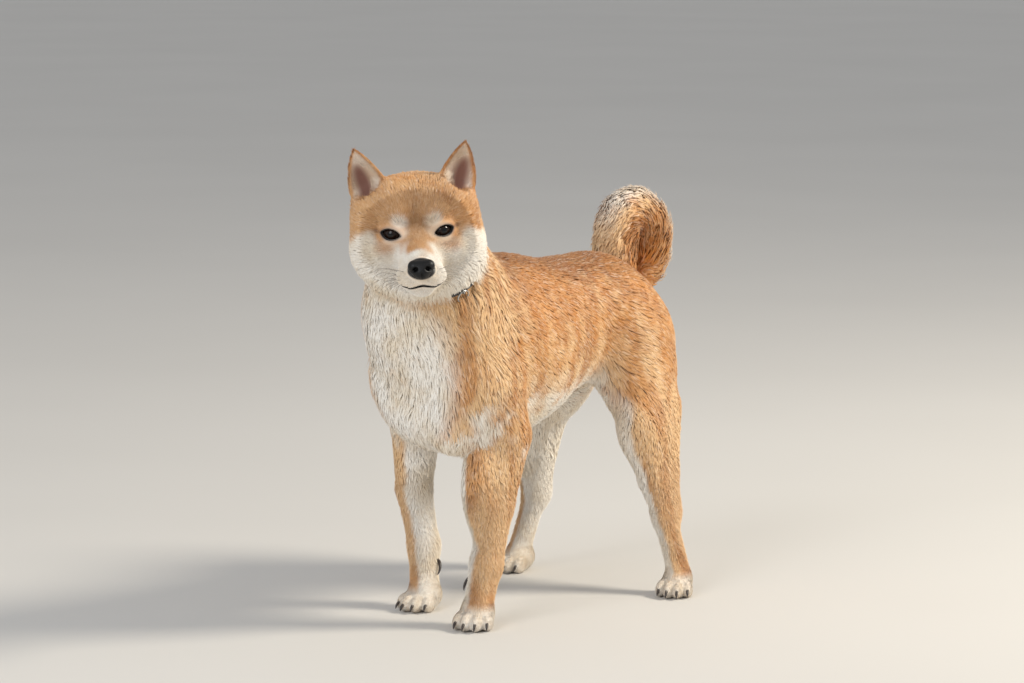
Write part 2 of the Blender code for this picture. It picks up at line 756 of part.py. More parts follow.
def strap_radii(shapes, count):
    """How far the coat reaches from the middle of the collar, at even turns round it."""
    reaches = np.linspace(0.030, 0.110, 161)
    turns = np.linspace(0, 2 * math.pi, count, endpoint=False)
    found = []
    for turn in turns:
        points = np.array([COLLAR.world((r * math.sin(turn), -r * math.cos(turn), 0)) for r in reaches])
        away = np.full(len(reaches), FAR)
        for shape in shapes:
            away = joined(away, shape, shape.distance(*points.T))
        found.append(reaches[np.argmax(away > 0)])
    near_turns = range(-2, 3)
    return turns, np.mean([np.roll(found, k) for k in near_turns], axis=0)


def strap_spot(turns, radii, turn):
    """Where the coat's edge is at a turn round the collar, in degrees from the throat to the left."""
    turn = math.radians(turn)
    reach = np.interp(turn, turns, radii)
    return COLLAR.world((reach * math.sin(turn), -reach * math.cos(turn), 0))


def band(turns, radii, low, high, inner, outer):
    """A closed hoop round the collar's middle, between two heights and two depths from the coat."""
    bm = bmesh.new()
    rings = []
    for turn, radius in zip(turns, radii):
        corners = ((inner, low), (outer, low), (outer, high), (inner, high))
        spots = [((radius + r) * math.sin(turn), -(radius + r) * math.cos(turn), z) for r, z in corners]
        rings.append([bm.verts.new(COLLAR.world(spot)) for spot in spots])
    for ring, after in zip(rings, rings[1:] + rings[:1]):
        for k in range(4):
            n = (k + 1) % 4
            bm.faces.new((ring[k], ring[n], after[n], after[k]))
    bmesh.ops.recalc_face_normals(bm, faces=bm.faces[:])
    mesh = bpy.data.meshes.new("band")
    bm.to_mesh(mesh)
    bm.free()
    return new_object("band", mesh)


def hoop(middle, axis, radius, wire, around, sides):
    """A round ring of round wire."""
    bm = bmesh.new()
    turn = Vector(axis).to_track_quat("Z", "Y").to_matrix()
    rings = []
    for k in range(around):
        angle = 2 * math.pi * k / around
        out = Vector((math.cos(angle), math.sin(angle), 0))
        ring = []
        for n in range(sides):
            slant = 2 * math.pi * n / sides
            spot = out * (radius + wire * math.cos(slant)) + Vector((0, 0, wire * math.sin(slant)))
            ring.append(bm.verts.new(turn @ spot + Vector(middle)))
        rings.append(ring)
    for ring, after in zip(rings, rings[1:] + rings[:1]):
        for k in range(sides):
            n = (k + 1) % sides
            bm.faces.new((ring[k], ring[n], after[n], after[k]))
    bmesh.ops.recalc_face_normals(bm, faces=bm.faces[:])
    mesh = bpy.data.meshes.new("hoop")
    bm.to_mesh(mesh)
    bm.free()
    return new_object("hoop", mesh)


def make_collar(shapes, head, neck):
    """A plain strap sunk in the coat over the seam of head and neck, with a ring hung from a small eye."""
    turns, radii = strap_radii(shapes, 40)
    half = COLLAR_WIDTH / 2
    outer = -COLLAR_SUNK
    inner = outer - COLLAR_DEPTH
    strap = band(turns, radii, -half, half, inner, outer)
    for flesh in (head, neck):
        cut(flesh, band(turns, radii, -half - GAP, half + GAP, inner - GAP, 0.02))
    before, here, after = (strap_spot(turns, radii, RING_TURN + turn) for turn in (-5, 0, 5))
    along = (after - before) / np.linalg.norm(after - before)
    down = -COLLAR.axes[:, 2]
    out = np.cross(down, along)
    eye = here + out * (outer + RING_EYE * 0.55)
    fuse(strap, [hoop(eye, along, RING_EYE, RING_WIRE, 12, 6)])
    middle = eye + out * RING_SLACK + down * RING_RADIUS
    ring = hoop(middle, out, RING_RADIUS, RING_WIRE, 20, 6)
    for flesh in (head, neck):
        cut(flesh, hoop(middle, out, RING_RADIUS, RING_WIRE + GAP, 20, 6))
    finish(strap, "collar", STRAP, 0.6)
    finish(ring, "collar_ring", STEEL, 0.3, 1.0)


def make_nose(head):
    low, high = reach_of(HEAD, (-0.02, -0.115, -0.045), (0.02, -0.075, -0.005))
    pad = [ball((0, -0.0955, -0.0270), NOSE, (-8, 0, 0), inside=HEAD)]
    cut(head, surface("seat", pad, low, high, 0.0010, 480, grow=GAP))
    for side in (1, -1):
        nostril = (side * 0.0068, -0.1050, -0.0275)
        pad.append(ball(nostril, (0.0028, 0.0045, 0.0024), blend=0.0012, carve=True, inside=HEAD))
    nose = surface("nose", pad, low, high, 0.0008, 440)
    return finish(nose, "nose", BLACK, 0.4)


def make_eyes(head):
    for side, word in ((1, "left"), (-1, "right")):
        centre = Vector(eye_place(side).origin)
        for radius, kept in ((EYE_RADIUS + GAP, False), (EYE_RADIUS, True)):
            mesh = bpy.data.meshes.new("eye")
            bm = bmesh.new()
            bmesh.ops.create_icosphere(bm, subdivisions=3, radius=radius)
            bmesh.ops.translate(bm, vec=centre, verts=bm.verts[:])
            bm.to_mesh(mesh)
            bm.free()
            eyeball = new_object("eye", mesh)
            if kept:
                finish(eyeball, f"eye_{word}", BROWN, 0.1)
            else:
                cut(head, eyeball)


def make_tail(torso):
    tail = surface("tail", tail_shapes(), (-0.05, 0.24, 0.27), (0.06, 0.42, 0.44), 0.003, 300)
    fuse(tail, tail_locks(), "MANIFOLD")
    cut(tail, grown(torso, GAP * 1.5))
    return finish(tail, "tail", RED)


def main():
    for old in list(bpy.data.objects):
        bpy.data.objects.remove(old)
    shapes = flesh_shapes()
    for name in PAWS:
        make_leg(name, shapes)
    torso = make_torso(shapes)
    make_tail(torso)
    finish(torso, "torso", RED)
    neck = make_neck(shapes)
    head = make_head(shapes)
    make_collar(shapes, head, neck)
    make_nose(head)
    make_eyes(head)
    finish(neck, "neck", CREAM)
    finish(head, "head", CREAM)


if __name__ == "__main__":
    main()
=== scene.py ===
"""A young red shiba inu standing: one skin over its solids, a coat of tufts, eyes, nose, claws and collar."""

import functools
import itertools
import math

import bmesh
import bpy
import numpy as np
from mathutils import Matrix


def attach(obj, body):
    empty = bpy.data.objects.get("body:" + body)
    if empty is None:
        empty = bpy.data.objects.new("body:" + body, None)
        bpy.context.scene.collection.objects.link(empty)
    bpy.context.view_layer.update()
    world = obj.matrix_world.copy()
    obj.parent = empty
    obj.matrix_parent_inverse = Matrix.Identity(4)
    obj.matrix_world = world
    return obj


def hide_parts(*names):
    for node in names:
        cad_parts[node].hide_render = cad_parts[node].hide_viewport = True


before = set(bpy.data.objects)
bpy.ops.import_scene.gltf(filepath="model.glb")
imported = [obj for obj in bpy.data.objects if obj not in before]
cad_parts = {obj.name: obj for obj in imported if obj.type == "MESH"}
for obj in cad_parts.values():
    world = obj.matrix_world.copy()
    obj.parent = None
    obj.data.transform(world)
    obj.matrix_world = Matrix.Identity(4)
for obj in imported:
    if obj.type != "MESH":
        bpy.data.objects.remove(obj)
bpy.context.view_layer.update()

import openvdb
from mathutils import Matrix, Vector

bl_info = {
    "name": "Shiba inu",
    "version": (1, 0, 0),
    "blender": (4, 5, 0),
    "location": "View3D > Sidebar > Shiba inu",
    "description": "Skin, coat, eyes, nose, claws, whiskers and collar over the solids of a shiba inu",
    "category": "Object",
}

# Sizes of the body, in metres, as in its solids. The dog's own left is +X, and the floor is at z = 0.
MIDDLE = (0.0155, 0.099, 0.0)  # the middle of the model's box, in the axes that the body is drawn in
WITHERS = 0.366
BACK = 0.356
BRISKET = 0.174
BELLY = 0.216
CHEST_FRONT = -0.058
RUMP = 0.320
CHEST_HALF_WIDTH = 0.074
LOIN_HALF_WIDTH = 0.058
HIP_HALF_WIDTH = 0.061
EYE_APART = 0.0230
EYE_RADIUS = 0.0100
LID = 0.0020
EYE_SLIT = (0.0102, 0.0047)
HEAD_HALF_WIDTH = 0.0665
NOSE = (0.0133, 0.0100, 0.0098)
EAR_HEIGHT = 0.050
EAR_HALF_WIDTH = 0.0205
EAR_WALL = 0.0021
TAIL_RADIUS = 0.0206
TAIL_SWELL = 0.32
TAIL_CURL = (0.0235, 0.0385)
TAIL_TURN = (-60, 262)
TAIL_CORE = 0.82
COLLAR_SUNK = 0.0022
RING_EYE = 0.0026
RING_SLACK = 0.0006
RING_TURN = 48  # degrees from the throat to the dog's left
TOES = ((-0.0145, 0.0085), (-0.0052, 0.0165), (0.0052, 0.0165), (0.0145, 0.0085))
TOE_SPREAD = 700
HIND_PAW = 0.92

FAR = 1.0  # a distance that stands for nothing near
TINY = 1e-9
FLOOR_GAP = 0.0004
JOINT_BLEND = 0.006
BODY_STEP = 0.0031  # grid steps of the skin: the body, the back of the head, the face
HEAD_STEP = 0.00185
FACE_STEP = 0.00105
SEED = 11
BAKE_PATCH = 0.003  # width of a tuft on the map that its colours are baked to
FIELD_ROOM = 0.008  # how far past its box a shape is worked out on a grid
FIELD_REACH = 0.03  # the greatest distance that a grid holds
SKIN_REACH = 0.02  # the same on the grid that the skin is drawn from
SKIN_BAND = 0.018  # how far from the tips of the coat the skin's depth is worked out
SLOPE_STEP = 0.002  # half the length over which a slope is measured
RIM_GAP = 0.0007  # from the plane of the collar to each cut rim of the skin
ROOT_SUNK = 0.0005  # how deep a tuft starts in the skin
TIP_REACH = 0.012  # the furthest that a tuft is moved to meet the edge of the coat
LID_RIM = 0.0011  # how wide the bare rims are: round the eye, along the lips and round the nose
LIP_RIM = 0.0010
NOSE_RIM = 0.0008
BALD_LID = 0.0012  # how far from the slit of the eye the tufts begin
BALD_STRAP = 0.0055  # half the width of the bare band under the strap where the ring hangs
RING_ROOM = 17  # half the turn round the collar, in degrees, where the strap is seen
TAIL_TUFTS = 10000
TAIL_TUFT = (0.022, 0.0025, 0.20, 0.0016)  # length, width, stray and stand
CLAW_STEPS = 9
WHISKER_STEPS = 12
STRAP_STEPS = 180
STRAP_TURNS = 40  # turns round the collar at which the coat's reach is measured
RING_STEPS = 48
WIRE_SIDES = 12
FLOOR_HALF = 300.0


def linear(code):
    """An sRGB hex colour as linear red, green and blue."""
    parts = [int(code[k : k + 2], 16) / 255 for k in (1, 3, 5)]
    return tuple(p / 12.92 if p <= 0.04045 else ((p + 0.055) / 1.055) ** 2.4 for p in parts)


def turned(pitch, roll, yaw):
    """Axes rolled about the line of the nose, then pitched nose down, then yawed to the left, in degrees."""
    axes = np.eye(3)
    for axis, angle in (("Z", yaw), ("X", pitch), ("Y", roll)):
        axes = axes @ np.array(Matrix.Rotation(math.radians(angle), 3, axis))
    return axes


class Place:
    """A spot in the model with its own axes: x to its left, y to its back and z up, as the dog's own."""

    def __init__(self, origin=(0, 0, 0), turn=(0, 0, 0), inside=None):
        self.origin = np.array(origin, float)
        self.axes = turned(*turn)
        if inside is not None:
            self.origin = inside.world(origin)
            self.axes = inside.axes @ self.axes

    def world(self, point):
        return self.origin + self.axes @ np.array(point, float)

    def local(self, x, y, z):
        away = (x - self.origin[0], y - self.origin[1], z - self.origin[2])
        return tuple(sum(self.axes[i, j] * away[i] for i in range(3)) for j in range(3))


BODY = Place()
HEAD = Place((0.024, -0.084, 0.4065), (2, -4, 39.5))
COLLAR = Place((0, 0.018, -0.043), (37, 0, 0), HEAD)
TAIL = Place((0, 0.325, 0.348), (0, 0, -20))
PAWS = {
    "front_left": Place((0.052, -0.024, 0), (0, 0, 22)),
    "front_right": Place((-0.049, 0.020, 0), (0, 0, 4)),
    "hind_left": Place((0.121, 0.234, 0), (0, 0, 24)),
    "hind_right": Place((-0.094, 0.246, 0), (0, 0, -4)),
}


class Shape:
    """A soft volume: its distance function, its box, how far it blends, and whether it is cut away."""

    def __init__(self, distance, low, high, blend, carve=False):
        self.distance = distance
        self.low = np.array(low, float)
        self.high = np.array(high, float)
        self.blend = blend
        self.carve = carve


def soft_min(a, b, blend):
    near = np.maximum(blend - np.abs(a - b), 0) / blend
    return np.minimum(a, b) - near * near * blend / 4


def soft_max(a, b, blend):
    return -soft_min(-a, -b, blend)


def ball(centre, radii, turn=(0, 0, 0), blend=0.02, carve=False, inside=BODY):
    """An ellipsoid with its own three radii."""
    place = Place(centre, turn, inside)
    radii = np.array(radii, float)

    def distance(x, y, z):
        scaled = [c / r for c, r in zip(place.local(x, y, z), radii)]
        size = np.sqrt(sum(s * s for s in scaled))
        slope = np.sqrt(sum((s / r) ** 2 for s, r in zip(scaled, radii)))
        return size * (size - 1) / np.maximum(slope, TINY)

    reach = np.sqrt(((place.axes * radii) ** 2).sum(axis=1))
    return Shape(distance, place.origin - reach, place.origin + reach, blend, carve)


def limb(points, radii, squeeze=(1, 1, 1), blend=0.015, carve=False, inside=BODY):
    """Tapered lengths end to end, rounded where they meet, widened or thinned along each axis by squeeze."""
    squeeze = np.array(squeeze, float)
    knots = np.array(points, float) / squeeze
    lengths = list(zip(knots[:-1], knots[1:], radii[:-1], radii[1:]))

    def distance(x, y, z):
        at = [c / s for c, s in zip(inside.local(x, y, z), squeeze)]
        best = None
        for start, end, first, last in lengths:
            along = end - start
            off = [c - s for c, s in zip(at, start)]
            share = np.clip(sum(o * a for o, a in zip(off, along)) / (along @ along), 0, 1)
            away = np.sqrt(sum((o - share * a) ** 2 for o, a in zip(off, along)))
            away = away - (first + share * (last - first))
            best = away if best is None else soft_min(best, away, JOINT_BLEND)
        return best * squeeze.min()

    ends = np.array([inside.world(p) for p in points])
    reach = max(radii) * squeeze.max()
    return Shape(distance, ends.min(0) - reach, ends.max(0) + reach, blend, carve)


def both_sides(make):
    """The shapes that make(side) gives for the left side, 1, and the right side, -1."""
    return [shape for side in (1, -1) for shape in make(side)]


def torso_shapes():
    """Rib cage, shoulders, loin and croup, out to the tips of the coat."""

    def flank(side):
        return [
            ball((side * 0.043, -0.004, 0.252), (0.031, 0.046, 0.062), (-14, side * 6, 0), 0.024),
            ball((side * 0.034, 0.258, 0.282), (0.028, 0.047, 0.044), (16, 0, 0), 0.02),
        ]

    depth = (WITHERS - BRISKET) / 2
    return [
        ball((0, 0.085, BRISKET + depth - 0.004), (CHEST_HALF_WIDTH, 0.125, depth - 0.009), (3, 0, 0), 0.03),
        ball((0, 0.055, WITHERS - 0.037), (0.042, 0.080, 0.032), (4, 0, 0), 0.03),
        ball((0, CHEST_FRONT + 0.046, 0.246), (0.062, 0.042, 0.070), (-8, 0, 0), 0.026),
        ball((0, 0.036, BRISKET + 0.038), (0.046, 0.075, 0.035), (0, 0, 0), 0.026),
        ball((0, 0.195, BACK - 0.068), (LOIN_HALF_WIDTH, 0.105, 0.064), (0, 0, 0), 0.03),
        ball((0, 0.185, BELLY + 0.040), (0.046, 0.075, 0.038), (6, 0, 0), 0.02),
        ball((0, RUMP - 0.066, BACK - 0.072), (HIP_HALF_WIDTH, 0.060, 0.064), (-14, 0, 0), 0.026),
        ball((0.028, -0.026, 0.198), (0.023, 0.028, 0.024), blend=0.014),
        limb([(0, 0.236, 0.222), (0, 0.206, 0.212)], [0.011, 0.007], blend=0.012),
    ] + both_sides(flank)


def neck_shapes():
    return [
        limb(
            [(0, 0.040, 0.286), (0.000, -0.020, 0.328), (0.016, -0.058, 0.378)],
            [0.072, 0.070, 0.054],
            blend=0.018,
        ),
        ball((-0.002, -0.036, 0.300), (0.062, 0.036, 0.054), (-14, 0, 5), 0.026),
    ]


def eye_place(side):
    """The middle of an eyeball, its slit rising outwards."""
    return Place((side * EYE_APART, -0.0330, 0), (-4, side * -12, side * 20), HEAD)


def eye_slit(side):
    """How far a point lies outside the opening between the lids, seen along the eye's own axis."""
    place = eye_place(side)
    half_width, half_height = EYE_SLIT
    radius = (half_width**2 + half_height**2) / (2 * half_height)
    sunk = radius - half_height

    def distance(x, y, z):
        x, y, z = place.local(x, y, z)
        upper = np.sqrt(x**2 + (z + sunk) ** 2) - radius
        lower = np.sqrt(x**2 + (z - sunk) ** 2) - radius
        return np.maximum(np.maximum(upper, lower), y + 0.002)

    reach = 2 * EYE_RADIUS
    return Shape(distance, place.origin - reach, place.origin + reach, 0.0016, True)


def eyelids(side):
    """A thickening round the eyeball, opened between an upper and a lower arc."""
    lid = EYE_RADIUS + LID
    return [ball((0, 0, 0), (lid, lid, lid), blend=0.009, inside=eye_place(side)), eye_slit(side)]


def ear_place(side):
    """The middle of an ear's foot, its z towards the tip and its hollow towards -y."""
    return Place((side * 0.0400, 0.010, 0.034), (8, side * 17, side * 14), HEAD)


def ear_shapes(side):
    """A triangular flap with a soft tip, its edges brought forward round a hollow deepest at the foot."""
    place = ear_place(side)
    foot = 0.020

    def distance(x, y, z):
        x, y, z = place.local(x, y, z)
        share = np.clip(z / EAR_HEIGHT, -0.3, 1.0)
        half_width = EAR_HALF_WIDTH * (1 - np.maximum(share, 0) ** 1.7) ** 0.85 + 0.0012
        hollow = 0.010 * (1 - 0.7 * share)
        across = np.minimum(np.abs(x) / half_width, 1.5)
        middle = hollow * (0.6 - across**2)
        sheet = np.abs(y - middle) - EAR_WALL * (1.5 - 0.7 * share)
        ends = np.maximum(z - EAR_HEIGHT, -z - foot)
        return soft_max(soft_max(sheet, np.abs(x) - half_width, 0.003), ends, 0.003)

    reach = EAR_HEIGHT + 0.012
    flap = Shape(distance, place.origin - reach, place.origin + reach, 0.006)
    cup = ball((0, -0.0105, 0.0175), (0.0145, 0.0140, 0.0225), (-4, 0, 0), 0.003, True, place)
    return [flap, cup]


def mouth():
    """The slit between the lips: round the front of the muzzle, rising to the corners."""
    half_width, length, back = 0.0285, 0.047, -0.050
    depth, half_gap = 0.0068, 0.0006

    def distance(x, y, z):
        x, y, z = HEAD.local(x, y, z)
        ahead = np.minimum(y - back, 0)
        round_front = (np.sqrt((x / half_width) ** 2 + (ahead / length) ** 2) - 1) * half_width
        dip = 0.0015 * np.cos(x / 0.0045) * (np.abs(x) < 0.014)
        level = dip - 0.0375 - 0.0080 * np.minimum(-ahead / 0.040, 1)
        gap = np.abs(z - level) - half_gap
        return np.maximum(np.maximum(gap, np.abs(round_front) - depth), y - back)

    ends = ((-0.034, 0.034), (-0.105, -0.045), (-0.054, -0.030))
    corners = [HEAD.world(corner) for corner in itertools.product(*ends)]
    return Shape(distance, np.min(corners, axis=0), np.max(corners, axis=0), 0.0012, True)


def nose_seat():
    """Where the pad of the nose sits."""
    return ball((0, -0.0955, -0.0270), NOSE, (-8, 0, 0), inside=HEAD)


def head_shapes():
    """Skull, cheeks, brows, muzzle and jaw, set by the eye line and the middle of the face."""

    def lump(centre, radii, yaw, blend):
        return ball(centre, radii, (0, 0, yaw), blend, inside=HEAD)

    def length(start, end, radii, squeeze, blend):
        return limb([start, end], radii, squeeze, blend, inside=HEAD)

    def half(side):
        cheek = 0.033
        return [
            lump((side * (HEAD_HALF_WIDTH - cheek), 0.004, -0.020), (cheek, 0.038, 0.034), 0, 0.020),
            lump((side * 0.0340, 0.006, 0.018), (0.025, 0.032, 0.025), 0, 0.020),
            lump((side * 0.0175, -0.030, 0.0145), (0.0130, 0.011, 0.0085), side * 12, 0.012),
            lump((side * 0.0270, -0.036, -0.0190), (0.0150, 0.014, 0.0110), side * 30, 0.014),
            lump((side * 0.0115, -0.078, -0.0370), (0.0130, 0.019, 0.0110), side * -8, 0.007),
            *eyelids(side),
        ]

    skull = lump((0, 0.014, 0.010), (0.055, 0.052, 0.043), 0, 0.020)
    throat = lump((0, -0.004, -0.041), (0.045, 0.040, 0.031), 0, 0.014)
    muzzle = length((0, -0.028, -0.021), (0, -0.085, -0.0315), (0.0285, 0.0155), (1.05, 1, 0.92), 0.012)
    bridge = length((0, -0.030, -0.006), (0, -0.087, -0.0215), (0.0125, 0.0085), (1.1, 1, 1), 0.010)
    jaw = length((0, -0.020, -0.046), (0, -0.078, -0.0490), (0.0190, 0.0090), (1.25, 1, 0.95), 0.007)
    return [skull, throat, muzzle, bridge, jaw] + both_sides(half) + [mouth()]


def paw_shapes(name):
    """Four toes over a pad, spread from one place on the floor."""
    place = PAWS[name]
    scale = HIND_PAW if name.startswith("hind") else 1.0
    shapes = [ball((0, 0.004, 0.012), (0.0180 * scale, 0.021, 0.0145), (10, 0, 0), 0.008, inside=place)]
    for across, ahead in TOES:
        toe = (0.0066 * scale, 0.0125, 0.0096)
        turn = (12, 0, across * TOE_SPREAD)
        shapes.append(ball((across * scale, -ahead, 0.0082), toe, turn, 0.003, inside=place))
    return shapes


def front_leg_shapes(name):
    """Upper arm, forearm, wrist and pastern down to the paw."""
    side = 1 if name.endswith("left") else -1
    foot = PAWS[name].origin
    out = 0.055 if side > 0 else 0.069
    elbow = np.array((side * out, 0.030 + foot[1] * 0.35, 0.190))
    wrist = np.array((foot[0] + (0 if side > 0 else -0.011), foot[1] + 0.018, 0.062))
    bow = (0.001 if side > 0 else -0.008, 0, 0)
    low = elbow * 0.45 + wrist * 0.55 + bow
    inner_fur = [ball((0.046, -0.006, 0.140), (0.018, 0.024, 0.050), blend=0.014)] if side > 0 else []
    path = [(side * 0.050, -0.004, 0.245), elbow, low, wrist]
    return [
        limb(path, [0.032, 0.0260, 0.0190, 0.0165], (0.95, 1.05, 1), 0.02),
        limb([wrist, (foot[0], foot[1] + 0.004, 0.022)], [0.0155, 0.0150], (1.05, 1, 1), 0.010),
        ball((wrist[0], wrist[1] + 0.013, 0.050), (0.006, 0.005, 0.007), blend=0.006),
    ] + inner_fur + paw_shapes(name)


def hind_leg_shapes(name):
    """Thigh, second thigh, hock and rear pastern down to the paw."""
    side = 1 if name.endswith("left") else -1
    foot = PAWS[name].origin
    hock = np.array((0.098, 0.247, 0.079) if side > 0 else (-0.084, 0.267, 0.079))
    knee = np.array((side * 0.076, 0.240 if side > 0 else 0.234, 0.170))
    return [
        ball((side * 0.046, 0.265, 0.232), (0.032, 0.051, 0.066), (20, side * -10, 0), 0.024),
        limb([(side * 0.044, 0.274, 0.260), knee], [0.042, 0.027], (0.75, 1, 1), 0.024),
        limb([knee, knee * 0.45 + hock * 0.55, hock], [0.0265, 0.0195, 0.0135], (0.85, 1.1, 1), 0.018),
        ball(hock + np.array((0, 0.008, 0.003)), (0.0085, 0.0095, 0.013), blend=0.010),
        limb([hock + np.array((0, 0.010, 0.006)), (side * 0.070, 0.286, 0.185)], [0.0070, 0.017], blend=0.02),
        limb([hock, (foot[0], foot[1] + 0.006, 0.022)], [0.0130, 0.0125], (0.95, 1.1, 1), 0.010),
    ] + paw_shapes(name)


def tail_middle(share):
    """A point along the middle of the tail: up from the croup and once round over the back."""
    turn = math.radians(TAIL_TURN[0] + TAIL_TURN[1] * share)
    return TAIL.world((0.004 * share, TAIL_CURL[0] * math.cos(turn), TAIL_CURL[1] * math.sin(turn)))


def tail_radius(share):
    """Half the thickness of the brush, out to the tips of the coat."""
    return TAIL_RADIUS * (1 + TAIL_SWELL * math.sin(math.pi * min(max(share, 0), 1)) ** 2)


def tail_shape(thickness):
    """The tail as one bent length, this much of the brush's thickness."""
    shares = np.linspace(0, 1, 10)
    points = [tail_middle(share) for share in shares]
    return limb(points, [thickness * tail_radius(share) for share in shares], blend=0.012)


def leg_shapes(name):
    return front_leg_shapes(name) if name.startswith("front") else hind_leg_shapes(name)


def body_shapes():
    """Everything of one skin but the ears and the tail."""
    legs = [shape for name in PAWS for shape in leg_shapes(name)]
    return torso_shapes() + neck_shapes() + legs + head_shapes()


def distance_to(shapes, points):
    """How far points lie outside the joined shapes, less than nothing inside them."""
    away = np.full(len(points), FAR)
    for shape in shapes:
        near = shape.distance(*points.T)
        if shape.carve:
            away = soft_max(away, -near, shape.blend)
        else:
            away = soft_min(away, near, shape.blend)
    return away


def smooth(share):
    share = np.clip(share, 0, 1)
    return share * share * (3 - 2 * share)


def rise(value, soft):
    """0 where a value is well below nothing and 1 where it is well above, changing over a soft edge."""
    return smooth(0.5 + value / soft)


def inside_of(shape, points, soft):
    """1 well inside a shape and 0 outside it, changing over a soft edge."""
    return rise(-shape.distance(*points.T), soft)


def unit(vectors):
    return vectors / np.maximum(np.linalg.norm(vectors, axis=-1, keepdims=True), TINY)


def ripple(points, size, seed):
    """Three smooth random numbers for each point, between about -1 and 1, that change over this size."""
    random = np.random.default_rng(seed)
    total = np.zeros((len(points), 3))
    waves = 5
    for _ in range(waves):
        ways = random.normal(size=(3, 3))
        ways = unit(ways) * 2 * math.pi / size * random.uniform(0.6, 1.4, (3, 1))
        total += np.sin(points @ ways.T + random.uniform(0, 2 * math.pi, 3))
    return total / math.sqrt(waves)


class Zone:
    """A stretch of coat. Sizes are in metres: how deep the skin lies under the tips, how long and wide a tuft
    is, how far apart tufts grow, how far they stray from their lie, and how far their tips stand out."""

    def __init__(self, shape, soft, lie, depth, length, width, spacing, stray, stand):
        self.shape = shape
        self.soft = soft
        self.lie = lie
        self.sizes = np.array((depth, length, width, spacing, stray, stand), float)

    def weight(self, points):
        return inside_of(self.shape, points, self.soft)


def straight(x, y, z):
    """A lie that is the same all over."""
    way = np.array((x, y, z), float)
    return lambda points: np.broadcast_to(way / np.linalg.norm(way), points.shape)


def from_nose(points):
    """Back over the face, away from the nose, and down towards the throat."""
    nose = HEAD.world((0, -0.100, -0.020))
    away = unit(points - nose)
    back = HEAD.axes[:, 1]
    return unit(away + 0.5 * back)


def over_strap(points):
    """Down and back from the cheeks over the strap."""
    away = unit(points - COLLAR.origin)
    return unit(-COLLAR.axes[:, 2] + 0.15 * away + 0.35 * COLLAR.axes[:, 1])


def up_ear(side):
    place = ear_place(side)

    def lie(points):
        x, y, z = place.local(*points.T)
        hollow = rise(-y, 0.004)
        ways = np.stack([side * 0.7 * hollow, 0 * z, 1 - 0.3 * hollow], axis=1)
        return unit(ways @ place.axes.T)

    return lie


def over_paw(name):
    way = PAWS[name].axes @ np.array((0, -1, -0.55))
    return straight(*way)


def anywhere(distance):
    """A shape that is only asked for its distance."""
    return Shape(distance, (0, 0, 0), (0, 0, 0), 0.01)


